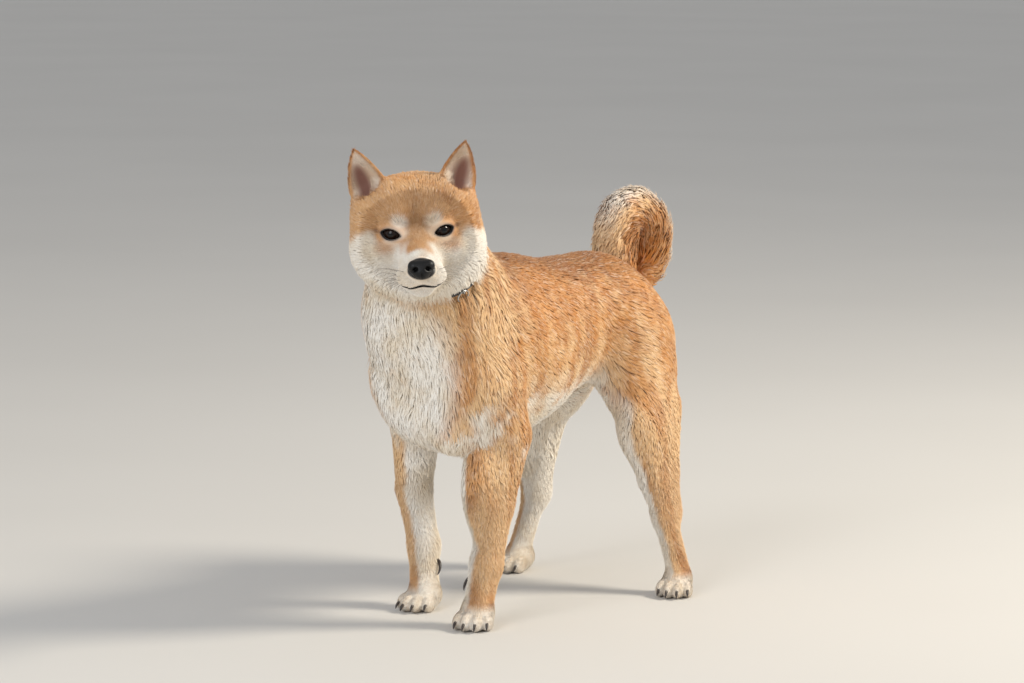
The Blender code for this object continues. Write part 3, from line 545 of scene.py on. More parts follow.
@functools.lru_cache(maxsize=None)
def zones():
    """The coat from the trunk to the ears. A later zone covers an earlier one."""
    millimetre = 0.001
    found = []

    def add(shape, soft, lie, *sizes):
        sizes = [size * millimetre for size in sizes[:4]] + [sizes[4], sizes[5] * millimetre]
        found.append(Zone(shape, soft, lie, *sizes))

    trunk = ball((0, 0.1, 0.25), (2, 2, 2))
    add(trunk, 0.1, straight(0, 1, -0.75), 2.6, 16, 2.3, 2.08, 0.15, 0.35)
    back = ball((0, 0.16, 0.36), (0.04, 0.20, 0.035))
    add(back, 0.02, straight(0, 1, -0.25), 2.6, 15, 2.2, 2.08, 0.14, 0.6)
    belly = ball((0, 0.17, 0.195), (0.060, 0.130, 0.050))
    add(belly, 0.03, straight(0, 1, -0.35), 2.5, 17, 2.3, 2.2, 0.20, 0.8)
    rump = ball((0, 0.325, 0.270), (0.085, 0.045, 0.085))
    add(rump, 0.03, straight(0, 0.4, -1), 3.0, 20, 2.4, 2.2, 0.16, 0.7)
    throat = limb([(0, -0.02, 0.21), (0.0, -0.04, 0.31), (0.016, -0.058, 0.375)], [0.085, 0.085, 0.080])
    add(throat, 0.035, straight(0, 0.40, -1), 3.3, 22, 2.3, 2.05, 0.22, 0.9)
    for name in PAWS:
        foot = PAWS[name].origin
        side = 1 if name.endswith("left") else -1
        if name.startswith("front"):
            top = (side * 0.060, 0.020, 0.165)
        else:
            top = (side * 0.078, 0.250, 0.165)
        shank = limb([top, (foot[0], foot[1] + 0.012, 0.05)], [0.050, 0.040])
        add(shank, 0.03, straight(0, 0.22, -1), 2.0, 11, 1.6, 1.6, 0.14, 0.4)
        shank = limb([(foot[0], foot[1] + 0.018, 0.105), (foot[0], foot[1], 0.01)], [0.042, 0.040])
        add(shank, 0.04, straight(0, 0.15, -1), 1.8, 7.0, 1.2, 1.14, 0.12, 0.35)
        paw = ball((0, -0.006, 0.010), (0.032, 0.038, 0.024), inside=PAWS[name])
        add(paw, 0.010, over_paw(name), 0.9, 4.6, 0.95, 0.95, 0.10, 0.2)
    skull = ball((0, 0.016, 0.004), (0.085, 0.080, 0.066), inside=HEAD)
    add(skull, 0.020, from_nose, 2.2, 11, 1.4, 1.45, 0.14, 0.5)
    ruff = anywhere(lambda x, y, z: np.abs(COLLAR.local(x, y, z)[2] - 0.004) - 0.014)
    add(ruff, 0.014, over_strap, 3.0, 20, 2.0, 1.55, 0.18, 1.3)
    face = ball((0, -0.040, -0.008), (0.060, 0.046, 0.050), inside=HEAD)
    add(face, 0.024, from_nose, 2.0, 6.0, 0.95, 0.92, 0.09, 0.25)
    muzzle = limb([(0, -0.045, -0.026), (0, -0.100, -0.034)], [0.034, 0.030], inside=HEAD)
    add(muzzle, 0.016, from_nose, 1.2, 4.0, 0.80, 0.80, 0.08, 0.1)
    for side in (1, -1):
        flap = ball((0, 0, 0.030), (0.034, 0.024, 0.036), inside=ear_place(side))
        add(flap, 0.012, up_ear(side), 0.7, 5.5, 0.80, 0.85, 0.12, 0.1)
        fringe = ball((side * -0.0105, -0.0080, 0.016), (0.006, 0.0065, 0.017), inside=ear_place(side))
        add(fringe, 0.004, up_ear(side), 0.7, 13, 0.9, 0.75, 0.22, 1.3)
        lids = ball((0, -0.004, 0), (0.0155, 0.0155, 0.0125), inside=eye_place(side))
        add(lids, 0.007, from_nose, 0.1, 2.8, 0.60, 0.70, 0.07, 0.0)
    lips = anywhere(lambda x, y, z: mouth().distance(x, y, z) - 0.003)
    add(lips, 0.005, from_nose, 0.25, 2.6, 0.65, 0.75, 0.07, 0.0)
    add(tail_shape(TAIL_CORE * 1.25), 0.010, straight(0, 1, 0), 0, 20, 2.0, 2.2, 0.2, 1.0)
    return found


def coat_at(points, wanted=None):
    """The sizes and the lie of the coat at each point."""
    sizes = np.zeros((len(points), 6))
    ways = np.zeros((len(points), 3))
    for zone in zones():
        weight = zone.weight(points)[:, None]
        here = np.flatnonzero(weight[:, 0] > 0)
        if not len(here):
            continue
        share = weight[here]
        sizes[here] += share * (zone.sizes - sizes[here])
        if wanted != "sizes":
            ways[here] += share * (zone.lie(points[here]) - ways[here])
    return sizes, ways


class Edge:
    """Anything that gives its distance at points, and so the way out of it there."""

    def slope(self, points):
        found = [self.at(points + move) - self.at(points - move) for move in np.eye(3) * SLOPE_STEP]
        return unit(np.stack(found, axis=1))


class Field(Edge):
    """A distance held on a grid whose steps may change along each axis."""

    def __init__(self, axes, values):
        self.axes = axes
        self.values = values

    def at(self, points):
        spots = []
        shares = []
        for axis, column in zip(self.axes, points.T):
            spot = np.interp(column, axis, np.arange(len(axis)))
            first = np.clip(np.floor(spot).astype(int), 0, len(axis) - 2)
            spots.append(first)
            shares.append(spot - first)
        total = np.zeros(len(points))
        for corner in range(8):
            bits = [(corner >> k) & 1 for k in range(3)]
            weight = np.ones(len(points))
            for bit, share in zip(bits, shares):
                weight = weight * (share if bit else 1 - share)
            total += weight * self.values[tuple(s + b for s, b in zip(spots, bits))]
        return total


def spaced(low, high, step, fine_low=None, fine_high=None, fine=None):
    """Even steps along an axis, with finer ones between two places."""
    if fine is None:
        return np.arange(low, high + step, step)
    before = np.arange(low, fine_low, step)
    between = np.arange(fine_low, fine_high, fine)
    after = np.arange(fine_high, high + step, step)
    return np.concatenate([before, between, after])


def field_on(shapes, axes):
    """The distance to the joined shapes at every point of a grid."""
    values = np.full([len(axis) for axis in axes], FAR, np.float32)
    for shape in shapes:
        room = shape.blend + FIELD_ROOM
        here = []
        for axis, low, high in zip(axes, shape.low - room, shape.high + room):
            here.append(slice(np.searchsorted(axis, low), np.searchsorted(axis, high)))
        if any(h.start >= h.stop for h in here):
            continue
        here = tuple(here)
        columns = [axis[h].astype(np.float32) for axis, h in zip(axes, here)]
        near = shape.distance(*np.meshgrid(*columns, indexing="ij", sparse=True))
        if shape.carve:
            values[here] = soft_max(values[here], -near, shape.blend)
        else:
            values[here] = soft_min(values[here], near, shape.blend)
    return Field(axes, np.clip(values, -FIELD_REACH, FIELD_REACH))


@functools.lru_cache(maxsize=None)
def body_field():
    axes = [
        spaced(-0.118, 0.150, BODY_STEP),
        spaced(-0.150, 0.400, BODY_STEP),
        spaced(-0.006, 0.440, BODY_STEP),
    ]
    return field_on(body_shapes() + [tail_shape(TAIL_CORE)], axes)


@functools.lru_cache(maxsize=None)
def head_field():
    axes = [
        spaced(-0.070, 0.125, HEAD_STEP, -0.006, 0.094, FACE_STEP),
        spaced(-0.205, 0.020, HEAD_STEP, -0.192, -0.092, FACE_STEP),
        spaced(0.310, 0.505, HEAD_STEP, 0.345, 0.432, FACE_STEP),
    ]
    return field_on(body_shapes() + both_sides(ear_shapes), axes)


def facing_out(points, quads):
    """The quads of a closed surface, turned round if they face inwards."""
    first, second, third, fourth = (points[quads[:, k]] for k in range(4))
    volume = np.einsum("ij,ij->", np.cross(third - first, fourth - second), first)
    return quads[:, ::-1] if volume < 0 else quads


def skin_surface(field):
    """The surface that lies under the tips of the coat by its depth at each place."""
    near = np.argwhere(np.abs(field.values) < SKIN_BAND)
    points = np.stack([axis[column] for axis, column in zip(field.axes, near.T)], axis=1)
    sizes, _ = coat_at(points, "sizes")
    values = np.full(field.values.shape, SKIN_REACH, np.float32)
    values[field.values < 0] = -SKIN_REACH
    values[tuple(near.T)] = field.values[tuple(near.T)] + sizes[:, 0]
    grid = openvdb.FloatGrid(SKIN_REACH)
    grid.copyFromArray(np.clip(values, -SKIN_REACH, SKIN_REACH))
    points, quads = grid.convertToQuads(0.0)
    points = np.stack([np.interp(c, np.arange(len(a)), a) for a, c in zip(field.axes, points.T)], axis=1)
    return points, facing_out(points, quads)


def group_numbers(count, quads):
    """One number for each point, the same for all that hang together."""
    numbers = np.arange(count)
    while True:
        least = numbers[quads].min(axis=1)
        before = numbers.copy()
        for k in range(quads.shape[1]):
            np.minimum.at(numbers, quads[:, k], least)
        numbers = numbers[numbers]
        if (numbers == before).all():
            return numbers


def bmesh_of(points, quads):
    """The largest closed surface among the quads."""
    numbers = group_numbers(len(points), quads)
    which, sizes = np.unique(numbers, return_counts=True)
    kept = numbers == which[np.argmax(sizes)]
    quads = quads[kept[quads[:, 0]]]
    index = np.cumsum(kept) - 1
    mesh = mesh_of("part", points[kept], index[quads])
    bm = bmesh.new()
    bm.from_mesh(mesh)
    bpy.data.meshes.remove(mesh)
    return bm


def mesh_of(name, points, faces):
    """A mesh from arrays of points and of faces with the same count of corners."""
    mesh = bpy.data.meshes.new(name)
    count, corners = faces.shape
    mesh.vertices.add(len(points))
    mesh.vertices.foreach_set("co", np.ascontiguousarray(points, np.float32).ravel())
    mesh.loops.add(count * corners)
    mesh.loops.foreach_set("vertex_index", np.ascontiguousarray(faces, np.int32).ravel())
    mesh.polygons.add(count)
    mesh.polygons.foreach_set("loop_start", np.arange(0, count * corners, corners, dtype=np.int32))
    mesh.update(calc_edges=True)
    mesh.validate()
    return mesh


def trimmed(bm, keep_above):
    """Cuts away what lies on one side of the plane of the collar."""
    side = 1 if keep_above else -1
    normal = Vector(COLLAR.axes[:, 2]) * side
    bmesh.ops.bisect_plane(
        bm,
        geom=bm.verts[:] + bm.edges[:] + bm.faces[:],
        plane_co=Vector(COLLAR.origin) + normal * RIM_GAP,
        plane_no=-normal,
        clear_outer=True,
    )
    return bm


@functools.lru_cache(maxsize=None)
def skin_mesh():
    """The whole skin as points and triangles: the body's and the head's, joined under the strap."""
    whole = trimmed(bmesh_of(*skin_surface(body_field())), False)
    head = trimmed(bmesh_of(*skin_surface(head_field())), True)
    mesh = bpy.data.meshes.new("head")
    head.to_mesh(mesh)
    head.free()
    whole.from_mesh(mesh)
    bpy.data.meshes.remove(mesh)
    rim = [edge for edge in whole.edges if edge.is_boundary]
    bmesh.ops.bridge_loops(whole, edges=rim)
    bmesh.ops.triangulate(whole, faces=whole.faces[:])
    bmesh.ops.recalc_face_normals(whole, faces=whole.faces[:])
    mesh = bpy.data.meshes.new("skin")
    whole.to_mesh(mesh)
    whole.free()
    points = np.empty(len(mesh.vertices) * 3)
    mesh.vertices.foreach_get("co", points)
    normals = np.empty(len(mesh.vertices) * 3)
    mesh.vertices.foreach_get("normal", normals)
    corners = np.empty(len(mesh.loops), np.int32)
    mesh.loops.foreach_get("vertex_index", corners)
    bpy.data.meshes.remove(mesh)
    points = points.reshape(-1, 3)
    points[:, 2] = np.maximum(points[:, 2], FLOOR_GAP)
    return points, normals.reshape(-1, 3), corners.reshape(-1, 3)


def patch(points, centre, radii, soft, turn=(0, 0, 0), inside=HEAD):
    """How far each point is in an oval marking, from 0 to 1."""
    return inside_of(ball(centre, radii, turn, inside=inside), points, soft)


def pair(points, centre, radii, soft, roll=0):
    """How far each point is in an oval marking on either side of the face, from 0 to 1."""
    across, back, up = centre
    ovals = [patch(points, (side * across, back, up), radii, soft, (0, side * roll, 0)) for side in (1, -1)]
    return np.maximum(*ovals)


def body_white(points, normals, edge):
    """The white of chest, belly, inner legs and toes."""
    x, y, z = points.T
    chest = patch(points, (-0.010, -0.070, 0.265), (0.060, 0.060, 0.115), 0.030, inside=BODY)
    front = rise(-normals[:, 1] - 0.30 + edge * 60, 0.8)
    under = rise(-normals[:, 2] - 0.35 + edge * 30, 0.4)
    white = np.maximum(chest * front, under * rise(0.235 - z, 0.05) * rise(z - 0.165, 0.02))
    toes = rise(0.022 - z, 0.012)
    for name in PAWS:
        side = 1 if name.endswith("left") else -1
        fore = name.startswith("front")
        here = rise(side * x - 0.004, 0.01) * rise(0.205 - z, 0.05) * ((y < 0.13) == fore)
        inner = -side * normals[:, 0] + (0.05 if fore else -0.35) * normals[:, 1]
        if name == "hind_left":
            inner = inner + 0.1
        inner = rise(inner - 0.15 + edge * 12, 0.40)
        white = np.maximum(white, here * np.maximum(inner, toes))
    return white


def head_white(points, normals, edge):
    """The white of cheeks, muzzle, brows, throat, inner ears and the rings round the eyes."""
    x, y, z = points.T
    hx, hy, hz = HEAD.local(x, y, z)
    border = -0.007 + 0.22 * (np.abs(hx) - 0.030) - 0.55 * np.maximum(hy + 0.020, 0)
    cheeks = rise(border - hz + edge, 0.013) * rise(0.026 - hy + edge, 0.026)
    bridge = patch(points, (0, -0.040, 0.000), (0.013, 0.042, 0.022), 0.008, (14, 0, 0))
    under_eye = pair(points, (0.030, -0.038, -0.0125), (0.012, 0.016, 0.0065), 0.011)
    brow = pair(points, (0.0165, -0.042, 0.0115), (0.0085, 0.014, 0.0065), 0.008, -25)
    round_eye = pair(points, (EYE_APART - 0.002, -0.040, 0.001), (0.0135, 0.016, 0.0085), 0.008)
    throat = rise(-0.030 - hz, 0.014) * rise(0.020 - hy, 0.02)
    found = [cheeks * (1 - 0.65 * bridge) * (1 - 0.7 * under_eye), 0.9 * brow, 0.5 * round_eye, throat]
    for side in (1, -1):
        place = ear_place(side)
        ex, ey, ez = place.local(x, y, z)
        half_width = EAR_HALF_WIDTH * (1 - np.clip(ez / EAR_HEIGHT, 0, 1) ** 1.7) ** 0.85
        inside = rise(normals @ -place.axes[:, 1] - 0.25, 0.4) * rise(ez - 0.004, 0.008)
        inside = inside * rise(half_width - 0.0035 - np.abs(ex), 0.004) * rise(0.020 - np.abs(ey), 0.006)
        found.append(0.75 * inside)
    return np.max(found, axis=0)


def coat_pattern_and_painted_light(points, normals):
    """The pattern of the coat at each point: white, gold, brown, bare dark skin and bare pink skin. The gold
    holds painted sunlight on the bridge of the muzzle, and the brown holds painted shade at the outer corners
    of the eyes.
    """
    x, y, z = points.T
    on_head = rise(COLLAR.local(x, y, z)[2], 0.012)
    on_body = 1 - on_head
    edge = ripple(points, 0.022, 3)[:, 0] * 0.004

    sheath = patch(points, (0, 0.206, 0.212), (0.012, 0.014, 0.014), 0.01, inside=BODY)
    white = body_white(points, normals, edge) * on_body + head_white(points, normals, edge) * on_head
    white = white * (1 - sheath)

    # Gold: low on shoulder, flank and thigh, where the red fades towards the white, and in part on the head.
    # On the bridge of the muzzle it is painted sunlight
    low = rise(0.275 - z + edge * 6, 0.14) * on_body
    neck = rise(0.020 - y + 0.25 * (z - 0.30) + edge * 3, 0.05) * on_body
    # Painted sunlight: a lighter gold patch on the bridge of the muzzle
    muzzle = patch(points, (0, -0.072, -0.014), (0.016, 0.040, 0.014), 0.014)
    gold = np.max([low, neck, 0.6 * muzzle, 0.55 * on_head], axis=0)

    # Brown: along the forehead and the back, at the root of the tail and round the eyes. The thin lines at the
    # outer corners of the eyes are painted shade in creases of the skin
    forehead = patch(points, (0, -0.034, 0.022), (0.009, 0.030, 0.030), 0.016)
    spine = rise(normals[:, 2] - 0.75, 0.5) * on_body * rise(z - 0.30, 0.04)
    croup = patch(points, (0, 0.285, 0.345), (0.035, 0.050, 0.022), 0.02, inside=BODY)
    # Painted shade: thin brown lines at the outer corners of the eyes, where creases of the skin would be
    # shaded
    corners = pair(points, (0.036, -0.030, 0.003), (0.006, 0.012, 0.0022), 0.004, -14)
    brown = [0.18 * forehead, 0.45 * spine, 0.5 * croup, 0.7 * corners, 0.8 * sheath]

    # Bare dark skin: the rims of the lids, the lips and the seat of the nose
    at_mouth = patch(points, (0, -0.075, -0.042), (0.045, 0.045, 0.018), 0.004)
    lips = mouth().distance(x, y, z)
    seat = nose_seat().distance(x, y, z)
    bare = [at_mouth * rise(LIP_RIM - lips, 0.0010), rise(NOSE_RIM - seat, 0.0012) * on_head]
    for side in (1, -1):
        slit = eye_slit(side).distance(x, y, z)
        near_eye = patch(points, (side * EYE_APART, -0.040, 0), (0.018, 0.016, 0.013), 0.004)
        brown.append(0.65 * near_eye * rise(0.0026 - slit, 0.0034))
        lids = patch(points, (side * EYE_APART, -0.040, 0), (0.015, 0.014, 0.012), 0.003)
        bare.append(lids * rise(LID_RIM - slit, 0.0010))

    pink = np.maximum(ear_hollow(points, 1), ear_hollow(points, -1))
    found = {"white": white, "gold": gold, "pink": pink}
    return found | {"brown": np.max(brown, axis=0), "bare": np.max(bare, axis=0)}


def ear_hollow(points, side):
    """How far a point is in the bare hollow of an ear, low and outward."""
    place = ear_place(side)
    return patch(points, (side * 0.0040, -0.002, 0.015), (0.0085, 0.012, 0.0190), 0.010, inside=place)


def link_up(tree, node, links):
    """Sets a node's inputs, each to a value or to another node's output."""
    for key, value in links.items():
        socket = node.inputs[key]
        if isinstance(value, bpy.types.NodeSocket):
            tree.links.new(value, socket)
        else:
            socket.default_value = value


def add_node(tree, kind, settings=None, links=None):
    """Adds a node with its settings and its inputs."""
    node = tree.nodes.new(kind)
    for name, value in (settings or {}).items():
        setattr(node, name, value)
    link_up(tree, node, links or {})
    return node


def new_material(name):
    material = bpy.data.materials.new(name)
    material.use_nodes = True
    tree = material.node_tree
    return material, tree, tree.nodes["Principled BSDF"]


def attribute(tree, name, output="Fac"):
    return add_node(tree, "ShaderNodeAttribute", {"attribute_name": name}).outputs[output]


def object_place(tree):
    return add_node(tree, "ShaderNodeTexCoord").outputs["Object"]


def noise(tree, place, scale, detail=2.0):
    links = {"Vector": place, "Scale": scale, "Detail": detail}
    return add_node(tree, "ShaderNodeTexNoise", {}, links).outputs["Fac"]


def wave(tree, place, direction, scale):
    links = {"Vector": place, "Scale": scale}
    return add_node(tree, "ShaderNodeTexWave", {"bands_direction": direction}, links).outputs["Fac"]


def mixed(tree, factor, first, second, blend="MIX"):
    """Two colours mixed by a factor."""
    links = {0: factor, 6: first, 7: second}
    node = add_node(tree, "ShaderNodeMix", {"data_type": "RGBA", "blend_type": blend}, links)
    return node.outputs[2]


def multiplied(tree, first, second):
    return add_node(tree, "ShaderNodeMath", {"operation": "MULTIPLY"}, {0: first, 1: second}).outputs[0]


def ranged(tree, value, low, high, first=0.0, last=1.0):
    links = {"Value": value, "From Min": low, "From Max": high, "To Min": first, "To Max": last}
    return add_node(tree, "ShaderNodeMapRange", {}, links).outputs[0]


def relief(tree, height, strength, distance, invert=False):
    """The way out of a surface that is raised where the height is great, by up to a distance in metres."""
    links = {"Height": height, "Strength": strength, "Distance": distance}
    return add_node(tree, "ShaderNodeBump", {"invert": invert}, links).outputs[0]


def rgba(colour, times=1.0):
    return (*(part * times for part in colour), 1.0)


def coat_colour(tree, settings):
    """The coat's colour from its markings, the same on skin and tufts."""
    place = object_place(tree)
    broad = noise(tree, place, 28.0, 3.0)
    fine = noise(tree, place, 160.0)
    stretch = add_node(tree, "ShaderNodeMapping", {}, {"Vector": place, "Scale": (1.0, 5.0, 1.0)}).outputs[0]
    bands = noise(tree, stretch, 11.0, 1.0)
    red = mixed(tree, ranged(tree, broad, 0.35, 0.65), rgba(settings.red), rgba(settings.deep_red))
    red = mixed(tree, ranged(tree, fine, 0.45, 0.8, 0.0, 0.5), red, rgba(settings.gold))
    # The gold mask also carries painted sunlight on the muzzle, and the brown mask painted shade at the eye
    # corners and in the tail's curl
    gold = multiplied(tree, attribute(tree, "gold"), ranged(tree, bands, 0.40, 0.56, 0.3, 1.0))
    colour = mixed(tree, gold, red, rgba(settings.gold))
    colour = mixed(tree, attribute(tree, "brown"), colour, rgba(settings.brown))
    cream = mixed(tree, ranged(tree, broad, 0.4, 0.7), rgba(settings.white), rgba(settings.cream))
    return mixed(tree, attribute(tree, "white"), colour, cream), place


def coat_material(settings):
    """A dog's guard hair, keratin with a soft sheen: tufts drawn into strands, darkened towards the root as
    painted shade where the tufts cover each other.
    """
    material, tree, shader = new_material("guard_hair")
    colour, _ = coat_colour(tree, settings)
    hairs = noise(tree, attribute(tree, "strand", "Vector"), 2.2)
    tone = attribute(tree, "tone")
    # Painted shade: each tuft is darkened towards its root, where the tufts over it would shade it
    deep = mixed(tree, 1.0, colour, (0.72, 0.60, 0.50, 1.0), "MULTIPLY")
    colour = mixed(tree, ranged(tree, attribute(tree, "along"), 0.0, 0.6, 0.3, 0.0), colour, deep)
    darker = mixed(tree, 1.0, colour, (0.70, 0.58, 0.48, 1.0), "MULTIPLY")
    colour = mixed(tree, ranged(tree, tone, 0.0, 0.3, 0.3, 0.0), colour, darker)
    colour = mixed(tree, ranged(tree, hairs, 0.5, 0.3, 0.0, 0.40), colour, darker)
    lighter = mixed(tree, 0.5, colour, (1.0, 0.95, 0.86, 1.0))
    colour = mixed(tree, ranged(tree, tone, 0.75, 1.0, 0.0, 0.4), colour, lighter)
    colour = mixed(tree, ranged(tree, hairs, 0.55, 0.75, 0.0, 0.5), colour, lighter)
    link_up(tree, shader, {
        "Base Color": colour,
        "Normal": relief(tree, hairs, 0.2, 0.0005),
        "Roughness": 0.58,
        "IOR": 1.55,
        "Sheen Weight": 0.2,
        "Sheen Roughness": 0.4,
        "Specular IOR Level": 0.3,
    })
    return material


def skin_material(settings):
    """Short hair over skin, seen between the tufts and darkened a little there as painted shade, and the bare
    skin of lids, lips and ears.
    """
    material, tree, shader = new_material("skin_and_down")
    colour, place = coat_colour(tree, settings)
    bare = attribute(tree, "bare")
    # Painted shade: the short hair between the tufts is darkened a little, as if the tufts shaded it
    deep = mixed(tree, 1.0, colour, (0.88, 0.82, 0.77, 1.0), "MULTIPLY")
    colour = mixed(tree, attribute(tree, "pink"), deep, rgba(settings.pink))
    link_up(tree, shader, {
        "Base Color": mixed(tree, bare, colour, rgba(settings.bare)),
        "Normal": relief(tree, noise(tree, place, 900.0, 3.0), 0.5, 0.0006),
        "Roughness": ranged(tree, bare, 0.0, 1.0, 0.75, 0.38),
        "Sheen Weight": 0.15,
    })
    return material


def eye_material(settings):
    """A wet eye: dark brown iris with radial fibres round a black pupil, under a clear glossy cornea."""
    material, tree, shader = new_material("wet_eye")
    ring = attribute(tree, "ring")
    fibres = noise(tree, attribute(tree, "spoke", "Vector"), 1.0)
    black = (0.003, 0.003, 0.003, 1.0)
    iris = mixed(tree, ranged(tree, fibres, 0.3, 0.7), rgba(settings.iris), rgba(settings.iris, 0.25))
    iris = mixed(tree, ranged(tree, ring, 0.50, 0.60), iris, rgba(settings.iris, 0.12))
    colour = mixed(tree, ranged(tree, ring, 0.60, 0.66), iris, rgba(settings.sclera))
    link_up(tree, shader, {
        "Base Color": mixed(tree, ranged(tree, ring, 0.24, 0.28, 1.0, 0.0), colour, black),
        "Roughness": 0.35,
        "Specular IOR Level": 0.0,
        "Coat Weight": 1.0,
        "Coat IOR": 1.376,
        "Coat Roughness": 0.02,
    })
    return material


def nose_material(settings):
    """Nose leather, black and damp: a fine pebbled grain half a millimetre across with a wet film."""
    material, tree, shader = new_material("nose_leather")
    place = object_place(tree)
    cells = add_node(tree, "ShaderNodeTexVoronoi", {}, {"Vector": place, "Scale": 1300.0}).outputs["Distance"]
    link_up(tree, shader, {
        "Base Color": mixed(tree, noise(tree, place, 300.0), rgba(settings.nose), rgba(settings.nose, 2.2)),
        "Normal": relief(tree, cells, 0.55, 0.0003, True),
        "Roughness": 0.45,
        "Specular IOR Level": 0.28,
        "Coat Weight": 0.1,
        "Coat Roughness": 0.2,
    })
    return material


def claw_material(settings):
    """Claw horn, dark grey-brown, with fine lines."""
    material, tree, shader = new_material("claw_horn")
    lines = noise(tree, object_place(tree), 700.0)
    colour = mixed(tree, lines, rgba(settings.claw), rgba(settings.claw, 2.4))
    link_up(tree, shader, {"Base Color": colour, "Roughness": 0.38})
    return material


def whisker_material():
    """A whisker, stiff and pale, with the dull shine of thick hair."""
    material, tree, shader = new_material("whisker_hair")
    tint = noise(tree, object_place(tree), 120.0)
    colour = mixed(tree, tint, rgba(linear("#B5A99B")), rgba(linear("#75695E")))
    link_up(tree, shader, {"Base Color": colour, "Roughness": 0.45})
    return material


def webbing_material(settings):
    """Woven nylon webbing: ribs across the strap 1.1 mm apart, drawn from its own map."""
    material, tree, shader = new_material("woven_nylon")
    weave = add_node(tree, "ShaderNodeUVMap", {"uv_map": "strap"}).outputs[0]
    both = multiplied(tree, wave(tree, weave, "X", 290.0), wave(tree, weave, "Y", 380.0))
    link_up(tree, shader, {
        "Base Color": mixed(tree, both, rgba(settings.strap), rgba(settings.strap, 2.5)),
        "Normal": relief(tree, both, 0.6, 0.0004),
        "Roughness": 0.7,
        "Sheen Weight": 0.2,
    })
    return material


def steel_material():
    """Bent and welded steel wire, nickel plated: bright, with faint rubbing marks."""
    material, tree, shader = new_material("nickel_plated_steel")
    rub = noise(tree, object_place(tree), 600.0, 3.0)
    link_up(tree, shader, {
        "Base Color": mixed(tree, rub, rgba(linear("#C9C8C6")), rgba(linear("#A9A8A6"))),
        "Roughness": ranged(tree, rub, 0.3, 0.7, 0.2, 0.36),
        "Metallic": 1.0,
    })
    return material


def place_piece(mesh, material, name, slot, *replaced):
    """Moves a finished mesh to the model's own middle and hands it to the frame."""
    mesh.name = name
    mesh.transform(Matrix.Translation(-Vector(MIDDLE)))
    mesh.materials.clear()
    mesh.materials.append(material)
    mesh.shade_smooth()
    piece = bpy.data.objects.new(name, mesh)
    bpy.context.scene.collection.objects.link(piece)
    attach(piece, "root")
    if replaced:
        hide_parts(*replaced)
    return piece


def write_floats(mesh, name, values):
    store = mesh.attributes.new(name, "FLOAT", "POINT")
    store.data.foreach_set("value", np.ascontiguousarray(values, np.float32))


def bake_map(mesh, corners, spots):
    """Writes the map that colours are baked to, from one spot for each point."""
    layer = mesh.uv_layers.new(name="OFBake")
    layer.uv.foreach_set("vector", np.ascontiguousarray(spots[corners.ravel()], np.float32).ravel())


def unwrapped(points, normals):
    """Each point's place on six flat views of the skin, from the left, right, back, front, top and below."""
    low, high = points.min(axis=0), points.max(axis=0)
    share = (points - low) / (high - low).max()
    axis = np.abs(normals).argmax(axis=1)
    way = (np.take_along_axis(normals, axis[:, None], 1)[:, 0] > 0).astype(int)
    across = np.where(axis == 0, share[:, 1], share[:, 0])
    up = np.where(axis == 2, share[:, 1], share[:, 2])
    margin = 0.01
    cell = np.stack([axis / 3, way / 2], axis=1)
    inside = np.stack([across / 3, up / 2], axis=1)
    return cell + margin + inside * (1 - 6 * margin)


def sown(seed, spacing_of):
    """Roots spread over the skin as densely as each place asks, and the way out of the skin there."""
    points, normals, faces = skin_mesh()
    corners = points[faces]
    crossed = np.cross(corners[:, 1] - corners[:, 0], corners[:, 2] - corners[:, 0])
    areas = np.linalg.norm(crossed, axis=1) / 2
    random = np.random.default_rng(seed)
    total = np.cumsum(areas / spacing_of(corners.mean(axis=1)) ** 2)
    picks = np.searchsorted(total, np.arange(random.uniform(), total[-1], 1.0))
    first, second = random.uniform(size=(2, len(picks)))
    over = first + second > 1
    first, second = np.where(over, 1 - first, first), np.where(over, 1 - second, second)
    shares = np.stack([1 - first - second, first, second], axis=1)
    roots = np.einsum("ik,ikj->ij", shares, points[faces[picks]])
    return roots, unit(np.einsum("ik,ikj->ij", shares, normals[faces[picks]]))


class Growth:
    """How tufts are built: where sections lie along them, how far risen they are there, how wide they are."""

    def __init__(self, along, risen, profile, flatness):
        self.along = along
        self.risen = risen
        self.profile = profile
        self.flatness = flatness


BENT = Growth((0.0, 0.50, 1.0), (0.0, 0.84, 1.0), (0.9, 0.9), 0.20)
SHORT = Growth((0.0, 1.0), (0.0, 1.0), (1.0,), 0.22)
HAIR = Growth((0.0, 1.0), (0.0, 1.0), (1.0,), 0.60)


def tuft_rings(roots, out, sizes, ways, field, growth, random):
    """Where each tuft's sections lie, and which way it runs and faces there, along the edge of the coat."""
    count = len(roots)
    length = sizes[:, 1] * random.uniform(0.8, 1.2, count)
    stand = sizes[:, 5] * random.normal(0.3, 0.8, count)
    broad, clumps, own = ripple(roots, 0.045, 21), ripple(roots, 0.010, 22), random.normal(size=(count, 3))
    ways = ways + (0.8 * broad + 0.9 * clumps + 0.5 * own) * sizes[:, 4:5]
    depth = np.maximum(-field.at(roots), 0)
    at = roots - out * ROOT_SUNK
    normal = out
    rings = []
    before = 0.0
    for share, rise in zip(growth.along, growth.risen):
        level = unit(ways - normal * np.einsum("ij,ij->i", ways, normal)[:, None])
        if share > before:
            at = at + level * (length * (share - before))[:, None]
            normal = field.slope(at)
            target = -depth * (1 - rise) + stand * rise
            off = np.clip(field.at(at) - target, -TIP_REACH, TIP_REACH)
            at = at - normal * off[:, None]
            at[:, 2] = np.maximum(at[:, 2], FLOOR_GAP)
        rings.append((at, level, normal))
        before = share
    return rings


